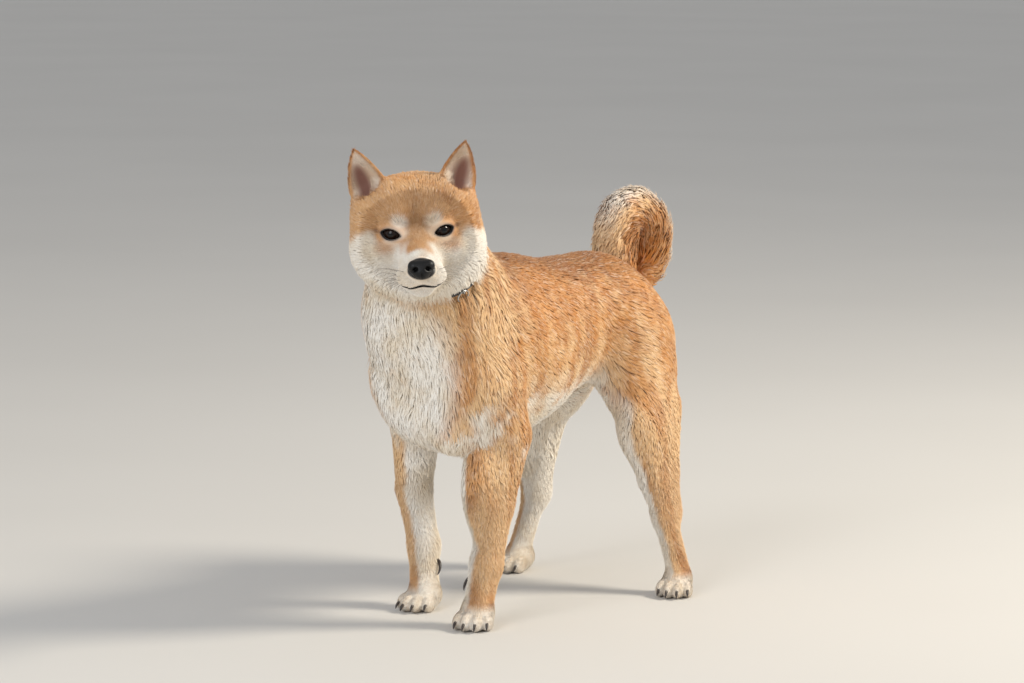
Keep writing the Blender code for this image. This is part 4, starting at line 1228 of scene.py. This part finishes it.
def tuft_mesh(name, rings, widths, growth):
    """Closed three-sided tapering tufts through the rings, the last of which is the tip."""
    count = len(rings[0][0])
    points = []
    for (at, level, normal), part in zip(rings[:-1], growth.profile):
        across = unit(np.cross(level, normal))
        wide = (widths * part / 2)[:, None]
        points += [at - across * wide, at + across * wide, at + normal * wide * 2 * growth.flatness]
    points.append(rings[-1][0])
    each = len(points)
    points = np.stack(points, axis=1).reshape(-1, 3)
    faces = [(0, 2, 1)]
    for ring in range(len(rings) - 2):
        low, high = ring * 3, ring * 3 + 3
        for k in range(3):
            n = (k + 1) % 3
            faces += [(low + k, low + n, high + n), (low + k, high + n, high + k)]
    last = (len(rings) - 2) * 3
    faces += [(last + k, last + (k + 1) % 3, each - 1) for k in range(3)]
    faces = np.array(faces)[:, ::-1]
    faces = (faces[None] + (np.arange(count) * each)[:, None, None]).reshape(-1, 3)
    mesh = mesh_of(name, points, faces)
    ends = np.empty(len(mesh.edges) * 2, np.int32)
    mesh.edges.foreach_get("vertices", ends)
    ends = ends.reshape(-1, 2) % each
    kinds = np.where(ends == each - 1, 3, ends % 3)
    low_edge = (kinds.min(axis=1) < 2) & ((kinds[:, 0] == kinds[:, 1]) | (kinds.max(axis=1) == 3))
    store = mesh.attributes.new("sharp_edge", "BOOLEAN", "EDGE")
    store.data.foreach_set("value", low_edge)
    return mesh, faces, each


def grow_coat(name, roots, out, sizes, ways, field, growth, material, slot, seed, pattern_and_painted_light):
    """One piece of coat: tufts on these roots, with their markings and their map."""
    random = np.random.default_rng(seed)
    rings = tuft_rings(roots, out, sizes, ways, field, growth, random)
    widths = sizes[:, 2] * random.uniform(0.75, 1.2, len(roots))
    mesh, faces, each = tuft_mesh(name, rings, widths, growth)
    seen, _, facing = rings[-2]
    if len(rings) == 2:
        seen = (rings[0][0] + rings[1][0]) / 2
    values = pattern_and_painted_light(seen, facing)
    # The gold and brown values also carry painted sunlight and painted shade
    for key in ("white", "gold", "brown"):
        write_floats(mesh, key, np.repeat(values[key], each))
    tone = random.uniform(size=len(roots))
    write_floats(mesh, "tone", np.repeat(tone, each))
    sections = len(rings) - 1
    along = np.concatenate([np.repeat(growth.along[:-1], 3), [1.0]])
    across = np.concatenate([np.tile((-1.0, 1.0, 0.0), sections), [0.0]])
    strand = np.stack([across * 1.6, along * 0.8, 0 * along], axis=1)[None]
    strand = strand + tone[:, None, None] * (31, 17, 53)
    store = mesh.attributes.new("strand", "FLOAT_VECTOR", "POINT")
    store.data.foreach_set("vector", np.ascontiguousarray(strand, np.float32).ravel())
    write_floats(mesh, "along", np.tile(along, len(roots)))
    spots = np.stack([across / 2, along - 0.5], axis=1) * BAKE_PATCH
    spots = (unwrapped(roots, out)[:, None] + spots[None]).reshape(-1, 2)
    bake_map(mesh, faces, spots)
    return place_piece(mesh, material, name, slot)


def hue(name, description, code):
    """A colour that the panel shows, from its sRGB hex code."""
    default = linear(code)
    return bpy.props.FloatVectorProperty(name=name, description=description, subtype="COLOR", default=default)


def number(name, description, default, unit="LENGTH", subtype="NONE"):
    """A number that the panel shows."""
    return bpy.props.FloatProperty(
        name=name, description=description, default=default, unit=unit, subtype=subtype
    )


class CoatSettings(bpy.types.PropertyGroup):
    """The coat's colours."""

    red: hue("Red", "Main colour of the back, crown and flanks", "#D08A3E")
    deep_red: hue("Deep red", "Colour of the darker drifts in the red", "#AF6E31")
    # Also the colour of the painted sunlight on the bridge of the muzzle
    gold: hue("Gold", "Colour where the red fades, low on the flanks", "#EAC290")
    # Also the colour of the painted shade at the outer corners of the eyes and in the hollow of the tail's
    # curl
    brown: hue("Brown", "Colour of the dark-tipped hair", "#71462A")
    white: hue("White", "Colour of the cheeks and chest", "#FAF5EC")
    cream: hue("Cream", "Colour of the warmer drifts in the white", "#F0E2CB")
    bare: hue("Bare skin", "Colour of the rims of the lids and of the lips", "#15100F")
    pink: hue("Ear skin", "Colour of the bare skin in the ears", "#7D5446")


class FaceSettings(bpy.types.PropertyGroup):
    """Eyes, nose, whiskers and claws."""

    iris: hue("Iris", "Colour of the iris", "#2C190E")
    sclera: hue("White of the eye", "Colour at the corners of the eye", "#30241E")
    nose: hue("Nose", "Colour of the nose leather", "#070606")
    claw: hue("Claws", "Colour of the claws", "#2E2723")
    whisker: number("Whisker length", "Length of the longest whiskers", 0.034)


class CollarSettings(bpy.types.PropertyGroup):
    """The strap and its ring."""

    strap: hue("Strap", "Colour of the webbing", "#24262B")
    width: number("Width", "Width of the strap", 0.009)
    thickness: number("Thickness", "Thickness of the strap", 0.0022)
    ring: number("Ring radius", "From the ring's middle to its wire", 0.0065)
    wire: number("Wire radius", "Half the thickness of the wire", 0.0009)


class StageSettings(bpy.types.PropertyGroup):
    """The camera and the light."""

    lens: number("Lens", "Focal length in millimetres", 134.6, "NONE")
    camera: bpy.props.FloatVectorProperty(
        name="Camera",
        description="Place of the camera",
        subtype="TRANSLATION",
        unit="LENGTH",
        default=(2.2771, -3.1452, 0.79),
    )
    heading: number(
        "Heading", "Turn of the camera to the left of the back", math.radians(36.0), "ROTATION", "ANGLE"
    )
    pitch: number("Pitch", "How far the camera looks down", math.radians(7.58), "ROTATION", "ANGLE")
    key: number("Key light", "Power of the key light", 100.0, "POWER")
    fill: number("Fill light", "Power of the fill light", 48.0, "POWER")


def panel_light(name, power, size, place, colour):
    light = bpy.data.lights.new(name, "AREA")
    light.energy = power
    light.shape = "DISK"
    light.size = size
    light.color = colour
    lamp = bpy.data.objects.new(name, light)
    lamp.location = place
    aim = Vector((0, 0, 0.25)) - Vector(place)
    lamp.rotation_euler = aim.to_track_quat("-Z", "Y").to_euler()
    bpy.context.scene.collection.objects.link(lamp)


class DOG_OT_stage(bpy.types.Operator):
    """Camera at the photograph's angle, pale floor and soft light"""

    bl_idname = "dog.stage"
    bl_label = "Stage"

    def execute(self, context):
        settings = context.scene.dog_stage
        camera = bpy.data.cameras.new("camera")
        camera.lens = settings.lens
        camera.sensor_width = 36.0
        camera.clip_end = 1000.0
        eye = bpy.data.objects.new("camera", camera)
        eye.location = settings.camera
        eye.rotation_euler = (math.pi / 2 - settings.pitch, 0, settings.heading)
        context.scene.collection.objects.link(eye)
        context.scene.camera = eye

        corners = np.array([(-1, -1, 0), (1, -1, 0), (1, 1, 0), (-1, 1, 0)]) * FLOOR_HALF
        mesh = mesh_of("floor", corners, np.array([(0, 1, 2, 3)]))
        floor = bpy.data.objects.new("floor", mesh)
        context.scene.collection.objects.link(floor)
        material, tree, shader = new_material("painted_floor")
        cloud = noise(tree, object_place(tree), 1.5)
        colour = mixed(tree, cloud, rgba(linear("#D9D5CF")), rgba(linear("#D1CDC7")))
        link_up(tree, shader, {"Base Color": colour, "Roughness": 0.8})
        mesh.materials.append(material)

        world = bpy.data.worlds.new("studio")
        context.scene.world = world
        world.use_nodes = True
        sky = world.node_tree.nodes["Background"]
        link_up(world.node_tree, sky, {"Color": rgba(linear("#E3E6EA")), "Strength": 0.62})
        panel_light("key", settings.key, 0.9, (2.1, 1.5, 2.3), (1.0, 0.93, 0.80))
        panel_light("fill", settings.fill, 2.2, (0.2, -3.2, 2.0), (0.93, 0.96, 1.0))
        context.scene.view_settings.view_transform = "Standard"
        return {"FINISHED"}


class DOG_OT_skin(bpy.types.Operator):
    """One skin over head, ears, neck, trunk, legs and tail"""

    bl_idname = "dog.skin"
    bl_label = "Skin"

    def execute(self, context):
        points, normals, faces = skin_mesh()
        mesh = mesh_of("skin", points, faces)
        for key, values in coat_pattern_and_painted_light(points, normals).items():
            write_floats(mesh, key, values)
        legs = [f"leg_{name}" for name in PAWS]
        material = skin_material(context.scene.dog_coat)
        replaced = ["head", "ear_left", "ear_right", "neck", "torso", "tail"] + legs
        place_piece(mesh, material, "skin", "coat_red", *replaced)
        return {"FINISHED"}


def bald(points):
    """Where nothing grows: lids, lips, nose, the hollow of the ears and under the tail's brush."""
    x, y, z = points.T
    slit = np.minimum(eye_slit(1).distance(x, y, z), eye_slit(-1).distance(x, y, z))
    lips = mouth().distance(x, y, z)
    seat = nose_seat().distance(x, y, z)
    bare = (slit < BALD_LID) | (lips < LIP_RIM) | (seat < NOSE_RIM)
    above = points + COLLAR.axes[:, 2] * 0.012
    bare |= (np.abs(COLLAR.local(x, y, z)[2]) < BALD_STRAP) & (room_to_strap(above) < FAR)
    bare |= (tail_shape(TAIL_CORE).distance(x, y, z) < 0.002) & (z > 0.33) & (y > 0.2)
    for side in (1, -1):
        bare |= ear_hollow(points, side) > 0.6
    return bare


def room_to_strap(points):
    """How long a tuft may be: to the strap's upper edge where the ring hangs, and any length elsewhere."""
    x, y, z = COLLAR.local(*points.T)
    turn = np.degrees(np.arctan2(x, -y))
    shown = rise(RING_ROOM - np.abs(turn - RING_TURN), 8) * (z > 0.004)
    return np.where(shown > 0.5, np.maximum(z - 0.0035, 0.003), FAR)


def regions(roots):
    """The pieces of the coat: which roots are in each, its field, its way of growing and its slot."""
    x, y, z = roots.T
    hx, hy, hz = HEAD.local(x, y, z)
    sizes, _ = coat_at(roots, "sizes")
    on_head = (COLLAR.local(x, y, z)[2] > 0) & (y < 0.03)
    face = on_head & (sizes[:, 1] < 0.008)
    low = ~on_head & (z < 0.170) & (sizes[:, 1] < 0.0098 + 0.0016 * ripple(roots, 0.006, 31)[:, 0])
    rest = ~on_head & ~low
    found = []
    for word, side in (("left", 1), ("right", -1)):
        found.append((f"face_{word}", face & (side * hx > 0), head_field(), SHORT, "coat_red"))
        found.append((f"skull_{word}", on_head & ~face & (side * hx > 0), head_field(), BENT, "coat_red"))
        half = rest & (side * x > 0)
        found.append((f"chest_{word}", half & (y < 0.010), body_field(), BENT, "coat_cream"))
        found.append((f"flank_{word}", half & (y >= 0.010) & (y < 0.190), body_field(), BENT, "coat_red"))
        found.append((f"rump_{word}", half & (y >= 0.190), body_field(), BENT, "coat_red"))
        found.append((f"shin_{word}", low & (side * x > 0) & (y < 0.13), body_field(), SHORT, "coat_red"))
        found.append((f"hock_{word}", low & (side * x > 0) & (y >= 0.13), body_field(), SHORT, "coat_red"))
    return found


KINDS = {  # of each kind of tuft its seed, and its spacing, width and length against those of its zone
    "coat": (SEED, 1.0, 1.0, 1.0),
    "hairs": (SEED + 1, 1.2, 0.32, 1.1),
}


class DOG_OT_coat(bpy.types.Operator):
    """Tufts that lie along the body, longest on neck, chest and rump and shortest on face and feet"""

    bl_idname = "dog.coat"
    bl_label = "Coat"

    def execute(self, context):
        material = coat_material(context.scene.dog_coat)
        for kind, (seed, spread, widen, lengthen) in KINDS.items():
            roots, out = sown(seed, lambda points: coat_at(points, "sizes")[0][:, 3] * spread)
            kept = ~bald(roots)
            roots, out = roots[kept], out[kept]
            sizes, ways = coat_at(roots)
            sizes[:, 1] = np.minimum(sizes[:, 1] * lengthen, room_to_strap(roots))
            sizes[:, 2] *= widen
            if kind == "hairs":
                sizes[:, 5] = sizes[:, 5] * 1.2 + 0.0004
            for count, (name, here, field, growth, slot) in enumerate(regions(roots)):
                if kind == "hairs":
                    if growth is SHORT:
                        continue
                    growth = HAIR
                parts = (roots[here], out[here], sizes[here], ways[here])
                name = f"{kind}_{name}"
                grow_coat(name, *parts, field, growth, material, slot, seed * 100 + count, coat_pattern_and_painted_light)
        return {"FINISHED"}


class AroundTail(Edge):
    """The distance to the edge of the tail's brush."""

    def __init__(self):
        self.shape = tail_shape(1.0)

    def at(self, points):
        return self.shape.distance(*points.T)


def tail_pattern_and_painted_shade(points, normals):
    """Dark about the hole of the curl, as painted shade in its hollow; red half way out and cream at the outer
    rim.
    """
    x, y, z = TAIL.local(*points.T)
    outward = unit(np.stack([y, z], axis=1))
    facing = (normals @ TAIL.axes)[:, 1:]
    rim = np.einsum("ij,ij->i", facing, outward)
    upward = rise(0.6 * outward[:, 1] + 0.55 * outward[:, 0], 0.9)
    white = 0.8 * (rise(rim - 0.70, 0.6) * upward)
    # Painted shade: brown on the faces that look into the hollow of the curl
    return {"white": white, "gold": rise(rim - 0.2, 0.8), "brown": 0.45 * rise(-0.55 - rim, 0.6)}


class DOG_OT_tail(bpy.types.Operator):
    """The brush of the tail, long tufts that stand out from its core and lie towards its tip"""

    bl_idname = "dog.tail"
    bl_label = "Tail"

    def execute(self, context):
        random = np.random.default_rng(SEED)
        count = TAIL_TUFTS
        past_tip = 0.06
        shares = np.sqrt(random.uniform(0.0004, 1.0, count)) * (1 + past_tip)
        turns = random.uniform(0, 2 * math.pi, count)
        fine = np.linspace(-0.05, 1.10, 240)
        middles = np.array([tail_middle(share) for share in fine])
        radii = np.array([tail_radius(share) for share in fine])
        ahead = unit(np.gradient(middles, axis=0))
        outs = np.cross(TAIL.axes[:, 0][None], ahead)
        sides = np.cross(ahead, outs)

        def read(table, at):
            return np.stack([np.interp(at, fine, column) for column in table.T], axis=1)

        around = np.cos(turns)[:, None] * read(outs, shares) + np.sin(turns)[:, None] * read(sides, shares)
        capped = np.minimum(shares, 1.0)
        radius = np.interp(capped, fine, radii)
        along = read(ahead, capped)
        beyond = np.maximum(shares - 1.0, 0)[:, None] / past_tip
        around = unit(around + beyond * along * 1.5)
        roots = read(middles, capped) + around * (radius * TAIL_CORE * 0.9)[:, None]
        inward = np.maximum(-np.cos(turns), 0)
        sizes = np.zeros((count, 6))
        length, sizes[:, 2], sizes[:, 4], sizes[:, 5] = TAIL_TUFT
        sizes[:, 1] = length * (1 - 0.45 * inward)
        ways = 0.75 * along + 0.5 * around
        material = bpy.data.materials["guard_hair"]
        parts = (roots, around, sizes, ways)
        grow_coat("coat_tail", *parts, AroundTail(), BENT, material, "coat_red", SEED + 50, tail_pattern_and_painted_shade)
        thin = sizes * (1, 1.2, 0.3, 1, 1.4, 1.8)
        few = slice(None, None, 2)
        parts = (roots[few], around[few], thin[few], ways[few])
        grow_coat("hairs_tail", *parts, AroundTail(), HAIR, material, "coat_red", SEED + 51, tail_pattern_and_painted_shade)
        return {"FINISHED"}


class DOG_OT_eyes(bpy.types.Operator):
    """Two eyes, each with its iris, pupil and bulged cornea"""

    bl_idname = "dog.eyes"
    bl_label = "Eyes"

    def execute(self, context):
        material = eye_material(context.scene.dog_face)
        for side, word in ((1, "left"), (-1, "right")):
            place = eye_place(side)
            bm = bmesh.new()
            bmesh.ops.create_uvsphere(bm, u_segments=64, v_segments=48, radius=1.0)
            bmesh.ops.triangulate(bm, faces=bm.faces[:])
            mesh = bpy.data.meshes.new("eye")
            bm.to_mesh(mesh)
            bm.free()
            points = np.empty(len(mesh.vertices) * 3)
            mesh.vertices.foreach_get("co", points)
            points = points.reshape(-1, 3)
            turn = np.arccos(np.clip(points[:, 2], -1, 1))
            spin = np.arctan2(points[:, 1], points[:, 0])
            eyeball, cornea_turn, cornea_rise = 0.985, 0.70, 0.06
            cornea = smooth(1 - turn / cornea_turn) * cornea_rise
            local = points[:, (0, 2, 1)] * (eyeball + cornea)[:, None] * EYE_RADIUS
            local[:, 1] *= -1
            world = place.origin + local @ place.axes.T
            mesh.vertices.foreach_set("co", world.astype(np.float32).ravel())
            write_floats(mesh, "ring", turn)
            store = mesh.attributes.new("spoke", "FLOAT_VECTOR", "POINT")
            spoke = np.stack([np.cos(spin) * 9, np.sin(spin) * 9, turn * 2], axis=1)
            store.data.foreach_set("vector", spoke.astype(np.float32).ravel())
            place_piece(mesh, material, f"eyeball_{word}", "eye", f"eye_{word}")
        return {"FINISHED"}


def solid_mesh(name, shapes, low, high, step):
    """The closed surface of the joined shapes on an even grid, as triangles."""
    axes = [np.arange(a - 3 * step, b + 4 * step, step) for a, b in zip(low, high)]
    field = field_on(shapes, axes)
    grid = openvdb.FloatGrid(FIELD_REACH)
    grid.copyFromArray(field.values)
    points, quads = grid.convertToQuads(0.0)
    points = np.array([axis[0] for axis in axes]) + points * step
    return mesh_of(name, points, facing_out(points, quads))


class DOG_OT_nose(bpy.types.Operator):
    """The nose pad with its nostrils and the groove under them"""

    bl_idname = "dog.nose"
    bl_label = "Nose"

    def execute(self, context):
        wings = [(-0.0066, -0.0965, -0.0242), (0.0066, -0.0965, -0.0242)]
        pad = [
            limb(wings, [0.0054, 0.0054], (1.2, 1.35, 1.15), blend=0.003, inside=HEAD),
            ball((0, -0.0980, -0.0305), (0.0082, 0.0082, 0.0066), blend=0.005, inside=HEAD),
        ]
        for side in (1, -1):
            at = (side * 0.0062, -0.1040, -0.0262)
            pad.append(ball(at, (0.0027, 0.0050, 0.0021), (0, side * 25, side * 10), 0.0012, True, HEAD))
            cut = [(side * 0.0078, -0.1030, -0.0275), (side * 0.0128, -0.0980, -0.0290)]
            pad.append(limb(cut, [0.0012, 0.0008], blend=0.0010, carve=True, inside=HEAD))
        groove = [(0, -0.1068, -0.0280), (0, -0.1030, -0.0370)]
        pad.append(limb(groove, [0.0005, 0.0010], blend=0.0010, carve=True, inside=HEAD))
        low, high = np.minimum(pad[0].low, pad[1].low), np.maximum(pad[0].high, pad[1].high)
        mesh = solid_mesh("nose", pad, low, high, 0.00042)
        place_piece(mesh, nose_material(context.scene.dog_face), "nose_pad", "nose_skin", "nose")
        return {"FINISHED"}


def sweep_tree(material, sides):
    """Geometry Nodes that turn lines with a radius at each point into closed tapering forms."""
    tree = bpy.data.node_groups.new("tapering_sweep", "GeometryNodeTree")
    tree.interface.new_socket("Geometry", in_out="INPUT", socket_type="NodeSocketGeometry")
    count = tree.interface.new_socket("Sides", in_out="INPUT", socket_type="NodeSocketInt")
    count.default_value = sides
    tree.interface.new_socket("Geometry", in_out="OUTPUT", socket_type="NodeSocketGeometry")
    source = add_node(tree, "NodeGroupInput")
    curve = add_node(tree, "GeometryNodeMeshToCurve", {}, {"Mesh": source.outputs["Geometry"]})
    radius = add_node(tree, "GeometryNodeInputNamedAttribute", {"data_type": "FLOAT"}, {"Name": "half_width"})
    links = {"Resolution": source.outputs["Sides"], "Radius": 1.0}
    ring = add_node(tree, "GeometryNodeCurvePrimitiveCircle", {}, links)
    links = {"Curve": curve.outputs[0], "Profile Curve": ring.outputs[0], "Scale": radius.outputs[0]}
    form = add_node(tree, "GeometryNodeCurveToMesh", {}, links | {"Fill Caps": True})
    real = add_node(tree, "GeometryNodeRealizeInstances", {}, {"Geometry": form.outputs[0]})
    links = {"Geometry": real.outputs[0], "Material": material}
    painted = add_node(tree, "GeometryNodeSetMaterial", {}, links)
    add_node(tree, "NodeGroupOutput", {}, {"Geometry": painted.outputs[0]})
    return tree, count.identifier


def swept(name, lines, radii, material, sides):
    """A plain mesh of tapering forms along lines of points."""
    points = [tuple(p) for line in lines for p in line]
    edges = []
    start = 0
    for line in lines:
        edges += [(start + k, start + k + 1) for k in range(len(line) - 1)]
        start += len(line)
    mesh = bpy.data.meshes.new(name)
    mesh.from_pydata(points, edges, [])
    write_floats(mesh, "half_width", np.concatenate(radii))
    guide = bpy.data.objects.new(name, mesh)
    bpy.context.scene.collection.objects.link(guide)
    tree, sides_input = sweep_tree(material, sides)
    change = guide.modifiers.new("sweep", "NODES")
    change.node_group = tree
    change[sides_input] = sides
    graph = bpy.context.evaluated_depsgraph_get()
    done = bpy.data.meshes.new_from_object(guide.evaluated_get(graph))
    bpy.data.objects.remove(guide)
    bpy.data.meshes.remove(mesh)
    return done


def smooth_line(points, count):
    """A rounded line through a few points."""
    points = np.array(points, float)
    places = np.linspace(0, 1, len(points))
    shares = np.linspace(0, 1, count)
    if len(points) == 3:
        first, middle, last = points
        control = 2 * middle - (first + last) / 2
        shares = shares[:, None]
        return (1 - shares) ** 2 * first + 2 * shares * (1 - shares) * control + shares**2 * last
    weights = np.polynomial.polynomial.polyvander(places, len(points) - 1)
    made = np.polynomial.polynomial.polyvander(shares, len(points) - 1)
    return made @ np.linalg.solve(weights, points)


class DOG_OT_claws(bpy.types.Operator):
    """A curved claw on each toe and a dewclaw inside each wrist"""

    bl_idname = "dog.claws"
    bl_label = "Claws"

    def execute(self, context):
        material = claw_material(context.scene.dog_face)
        for name, place in PAWS.items():
            scale = HIND_PAW if name.startswith("hind") else 1.0
            lines, radii = [], []
            taper = np.linspace(0, 1, CLAW_STEPS)
            for across, ahead in TOES:
                lean = math.sin(math.radians(across * TOE_SPREAD))
                path = [(0.0050, 0.0090), (0.0108, 0.0080), (0.0138, 0.0052), (0.0149, 0.0024)]
                points = [place.world((across * scale + lean * y, -ahead - y, z)) for y, z in path]
                lines.append(smooth_line(points, CLAW_STEPS))
                radii.append(0.0015 * (1 - taper**2.2) + 0.0002)
            if name.startswith("front"):
                inward = -1 if name.endswith("left") else 1
                path = [
                    (0.0080, 0.017, 0.0490),
                    (0.0128, 0.014, 0.0450),
                    (0.0146, 0.010, 0.0395),
                    (0.0138, 0.007, 0.0360),
                ]
                points = [place.world((inward * x, y, z)) for x, y, z in path]
                lines.append(smooth_line(points, CLAW_STEPS))
                radii.append(0.0017 * (1 - taper**2) + 0.0002)
            mesh = swept(f"claws_{name}", lines, radii, material, 10)
            place_piece(mesh, material, f"claws_{name}", "nose_skin")
        return {"FINISHED"}


class DOG_OT_whiskers(bpy.types.Operator):
    """Whiskers in rows on the sides of the muzzle and over the eyes"""

    bl_idname = "dog.whiskers"
    bl_label = "Whiskers"

    def execute(self, context):
        settings = context.scene.dog_face
        random = np.random.default_rng(SEED)
        lines, radii = [], []
        count = WHISKER_STEPS
        rows = per_row = 4
        for side in (1, -1):
            for row in range(rows):
                for column in range(per_row):
                    back = -0.090 + 0.009 * column
                    up = -0.030 - 0.0035 * row - 0.001 * column
                    root = np.array((side * (0.016 + 0.0022 * column), back, up))
                    length = settings.whisker * (0.55 + 0.16 * column) * random.uniform(0.85, 1.1)
                    way = np.array((side * 0.9, 0.35 + 0.14 * column, 0.15 - 0.16 * row))
                    way = unit(way + random.normal(0, 0.06, 3))
                    middle = root + way * length * 0.55
                    last = root + way * length * 0.9 + np.array((0, 0.10, -0.24)) * length
                    lines.append(smooth_line([HEAD.world(p) for p in (root, middle, last)], count))
                    radii.append(np.linspace(0.00026, 0.00006, count))
            for k in range(3):
                root = np.array((side * (0.014 + 0.003 * k), -0.042, 0.012))
                way = unit(np.array((side * (0.3 + 0.2 * k), -0.35, 0.9)))
                length = settings.whisker * 0.4
                sag = np.array((0, 0.25, 0)) * length
                points = [HEAD.world(root + way * length * s + sag * s * s) for s in (0, 0.5, 1)]
                lines.append(smooth_line(points, count))
                radii.append(np.linspace(0.00018, 0.00005, count))
        material = whisker_material()
        mesh = swept("whiskers", lines, radii, material, 4)
        place_piece(mesh, material, "whiskers", "coat_cream")
        return {"FINISHED"}


@functools.lru_cache(maxsize=None)
def strap_radii(count):
    """How far the coat reaches from the middle of the collar, at even turns round it."""
    reaches = np.linspace(0.030, 0.110, 161)
    turns = np.linspace(0, 2 * math.pi, count, endpoint=False)
    shapes = body_shapes()
    found = []
    for turn in turns:
        points = np.array([COLLAR.world((r * math.sin(turn), -r * math.cos(turn), 0)) for r in reaches])
        found.append(reaches[np.argmax(distance_to(shapes, points) > 0)])
    return turns, np.mean([np.roll(found, k) for k in range(-2, 3)], axis=0)


def strap_spot(turn):
    """Where the coat's edge is at a turn round the collar, in degrees from the throat to the left."""
    turns, radii = strap_radii(STRAP_TURNS)
    turn = math.radians(turn)
    reach = np.interp(turn, turns, radii, period=2 * math.pi)
    return COLLAR.world((reach * math.sin(turn), -reach * math.cos(turn), 0))


def ring_faces(count, sides):
    """The quads between sections of this many points that follow each other once round."""
    faces = []
    for ring in range(count):
        after = (ring + 1) % count
        for k in range(sides):
            n = (k + 1) % sides
            faces.append((ring * sides + k, after * sides + k, after * sides + n, ring * sides + n))
    return np.array(faces)


def face_outwards(mesh):
    bm = bmesh.new()
    bm.from_mesh(mesh)
    bmesh.ops.recalc_face_normals(bm, faces=bm.faces[:])
    bm.to_mesh(mesh)
    bm.free()
    return mesh


def strap_mesh(settings):
    """The strap, just inside the edge of the coat, with a map along and across its webbing."""
    turns, radii = strap_radii(STRAP_TURNS)
    half = settings.width / 2
    outer = -COLLAR_SUNK
    inner = outer - settings.thickness
    soft = settings.thickness * 0.35
    section = [
        (inner, -half + soft),
        (inner + soft, -half),
        (outer - soft, -half),
        (outer, -half + soft),
        (outer, 0),
        (outer, half - soft),
        (outer - soft, half),
        (inner + soft, half),
        (inner, half - soft),
        (inner, 0),
    ]
    sides = len(section)
    points = []
    for angle in np.linspace(0, 2 * math.pi, STRAP_STEPS, endpoint=False):
        middle = np.interp(angle, turns, radii, period=2 * math.pi)
        for depth, z in section:
            reach = middle + depth
            points.append(COLLAR.world((reach * math.sin(angle), -reach * math.cos(angle), z)))
    mesh = mesh_of("strap", np.array(points), ring_faces(STRAP_STEPS, sides))
    round_length = 2 * math.pi * radii.mean()
    steps = [math.dist(section[k], section[(k + 1) % sides]) for k in range(sides)]
    across = np.cumsum([0] + steps)
    spots = []
    for ring in range(STRAP_STEPS):
        u, v = ring / STRAP_STEPS * round_length, (ring + 1) / STRAP_STEPS * round_length
        for k in range(sides):
            spots += [(u, across[k]), (v, across[k]), (v, across[k + 1]), (u, across[k + 1])]
    layer = mesh.uv_layers.new(name="strap")
    layer.uv.foreach_set("vector", np.array(spots, np.float32).ravel())
    return face_outwards(mesh)


def ring_mesh(name, centre, first, second, radius, wire):
    """A closed ring of round wire in the plane of two ways."""
    axis = np.cross(first, second)
    points = []
    for spin in np.linspace(0, 2 * math.pi, RING_STEPS, endpoint=False):
        spot = centre + radius * (np.cos(spin) * first + np.sin(spin) * second)
        out = unit(spot - centre)
        for slant in np.arange(WIRE_SIDES) * 2 * math.pi / WIRE_SIDES:
            points.append(spot + out * wire * math.cos(slant) + axis * wire * math.sin(slant))
    return face_outwards(mesh_of(name, np.array(points), ring_faces(RING_STEPS, WIRE_SIDES)))


class DOG_OT_collar(bpy.types.Operator):
    """A woven strap, a small eye and a ring"""

    bl_idname = "dog.collar"
    bl_label = "Collar"

    def execute(self, context):
        settings = context.scene.dog_collar
        place_piece(strap_mesh(settings), webbing_material(settings), "strap", "strap", "collar")

        before, here, after = (strap_spot(RING_TURN + turn) for turn in (-5, 0, 5))
        along = unit(after - before)
        down = -COLLAR.axes[:, 2]
        out = np.cross(down, along)
        eye = here + out * (RING_EYE * 0.55 - COLLAR_SUNK)
        middle = eye + out * RING_SLACK + down * settings.ring
        steel = steel_material()
        for name, centre, axis, radius, slot, *replaced in (
            ("strap_eye", eye, along, RING_EYE, "strap"),
            ("ring", middle, out, settings.ring, "ring_steel", "collar_ring"),
        ):
            first = unit(np.cross(axis, down + 0.3 * along))
            second = np.cross(axis, first)
            mesh = ring_mesh(name, centre, first, second, radius, settings.wire)
            place_piece(mesh, steel, name, slot, *replaced)
        return {"FINISHED"}


class DOG_PT_panel(bpy.types.Panel):
    """Lists the pieces in the order that they are made"""

    bl_idname = "DOG_PT_panel"
    bl_label = "Shiba inu"
    bl_space_type = "VIEW_3D"
    bl_region_type = "UI"
    bl_category = "Shiba inu"

    def draw(self, context):
        layout = self.layout
        scene = context.scene
        for group in (scene.dog_stage, scene.dog_coat, scene.dog_face, scene.dog_collar):
            box = layout.box()
            for name in group.__annotations__:
                box.prop(group, name)
        for operator in OPERATORS:
            layout.operator(operator.bl_idname)


GROUPS = {
    "dog_stage": StageSettings,
    "dog_coat": CoatSettings,
    "dog_face": FaceSettings,
    "dog_collar": CollarSettings,
}
OPERATORS = (
    DOG_OT_stage,
    DOG_OT_skin,
    DOG_OT_coat,
    DOG_OT_tail,
    DOG_OT_eyes,
    DOG_OT_nose,
    DOG_OT_claws,
    DOG_OT_whiskers,
    DOG_OT_collar,
)


def register():
    for group in GROUPS.values():
        bpy.utils.register_class(group)
    for name, group in GROUPS.items():
        setattr(bpy.types.Scene, name, bpy.props.PointerProperty(type=group))
    for operator in OPERATORS:
        bpy.utils.register_class(operator)
    bpy.utils.register_class(DOG_PT_panel)


def unregister():
    bpy.utils.unregister_class(DOG_PT_panel)
    for operator in reversed(OPERATORS):
        bpy.utils.unregister_class(operator)
    for name, group in GROUPS.items():
        delattr(bpy.types.Scene, name)
        bpy.utils.unregister_class(group)


def main():
    register()
    bpy.ops.dog.stage()
    bpy.ops.dog.skin()
    bpy.ops.dog.coat()
    bpy.ops.dog.tail()
    bpy.ops.dog.eyes()
    bpy.ops.dog.nose()
    bpy.ops.dog.claws()
    bpy.ops.dog.whiskers()
    bpy.ops.dog.collar()


if __name__ == "__main__":
    main()
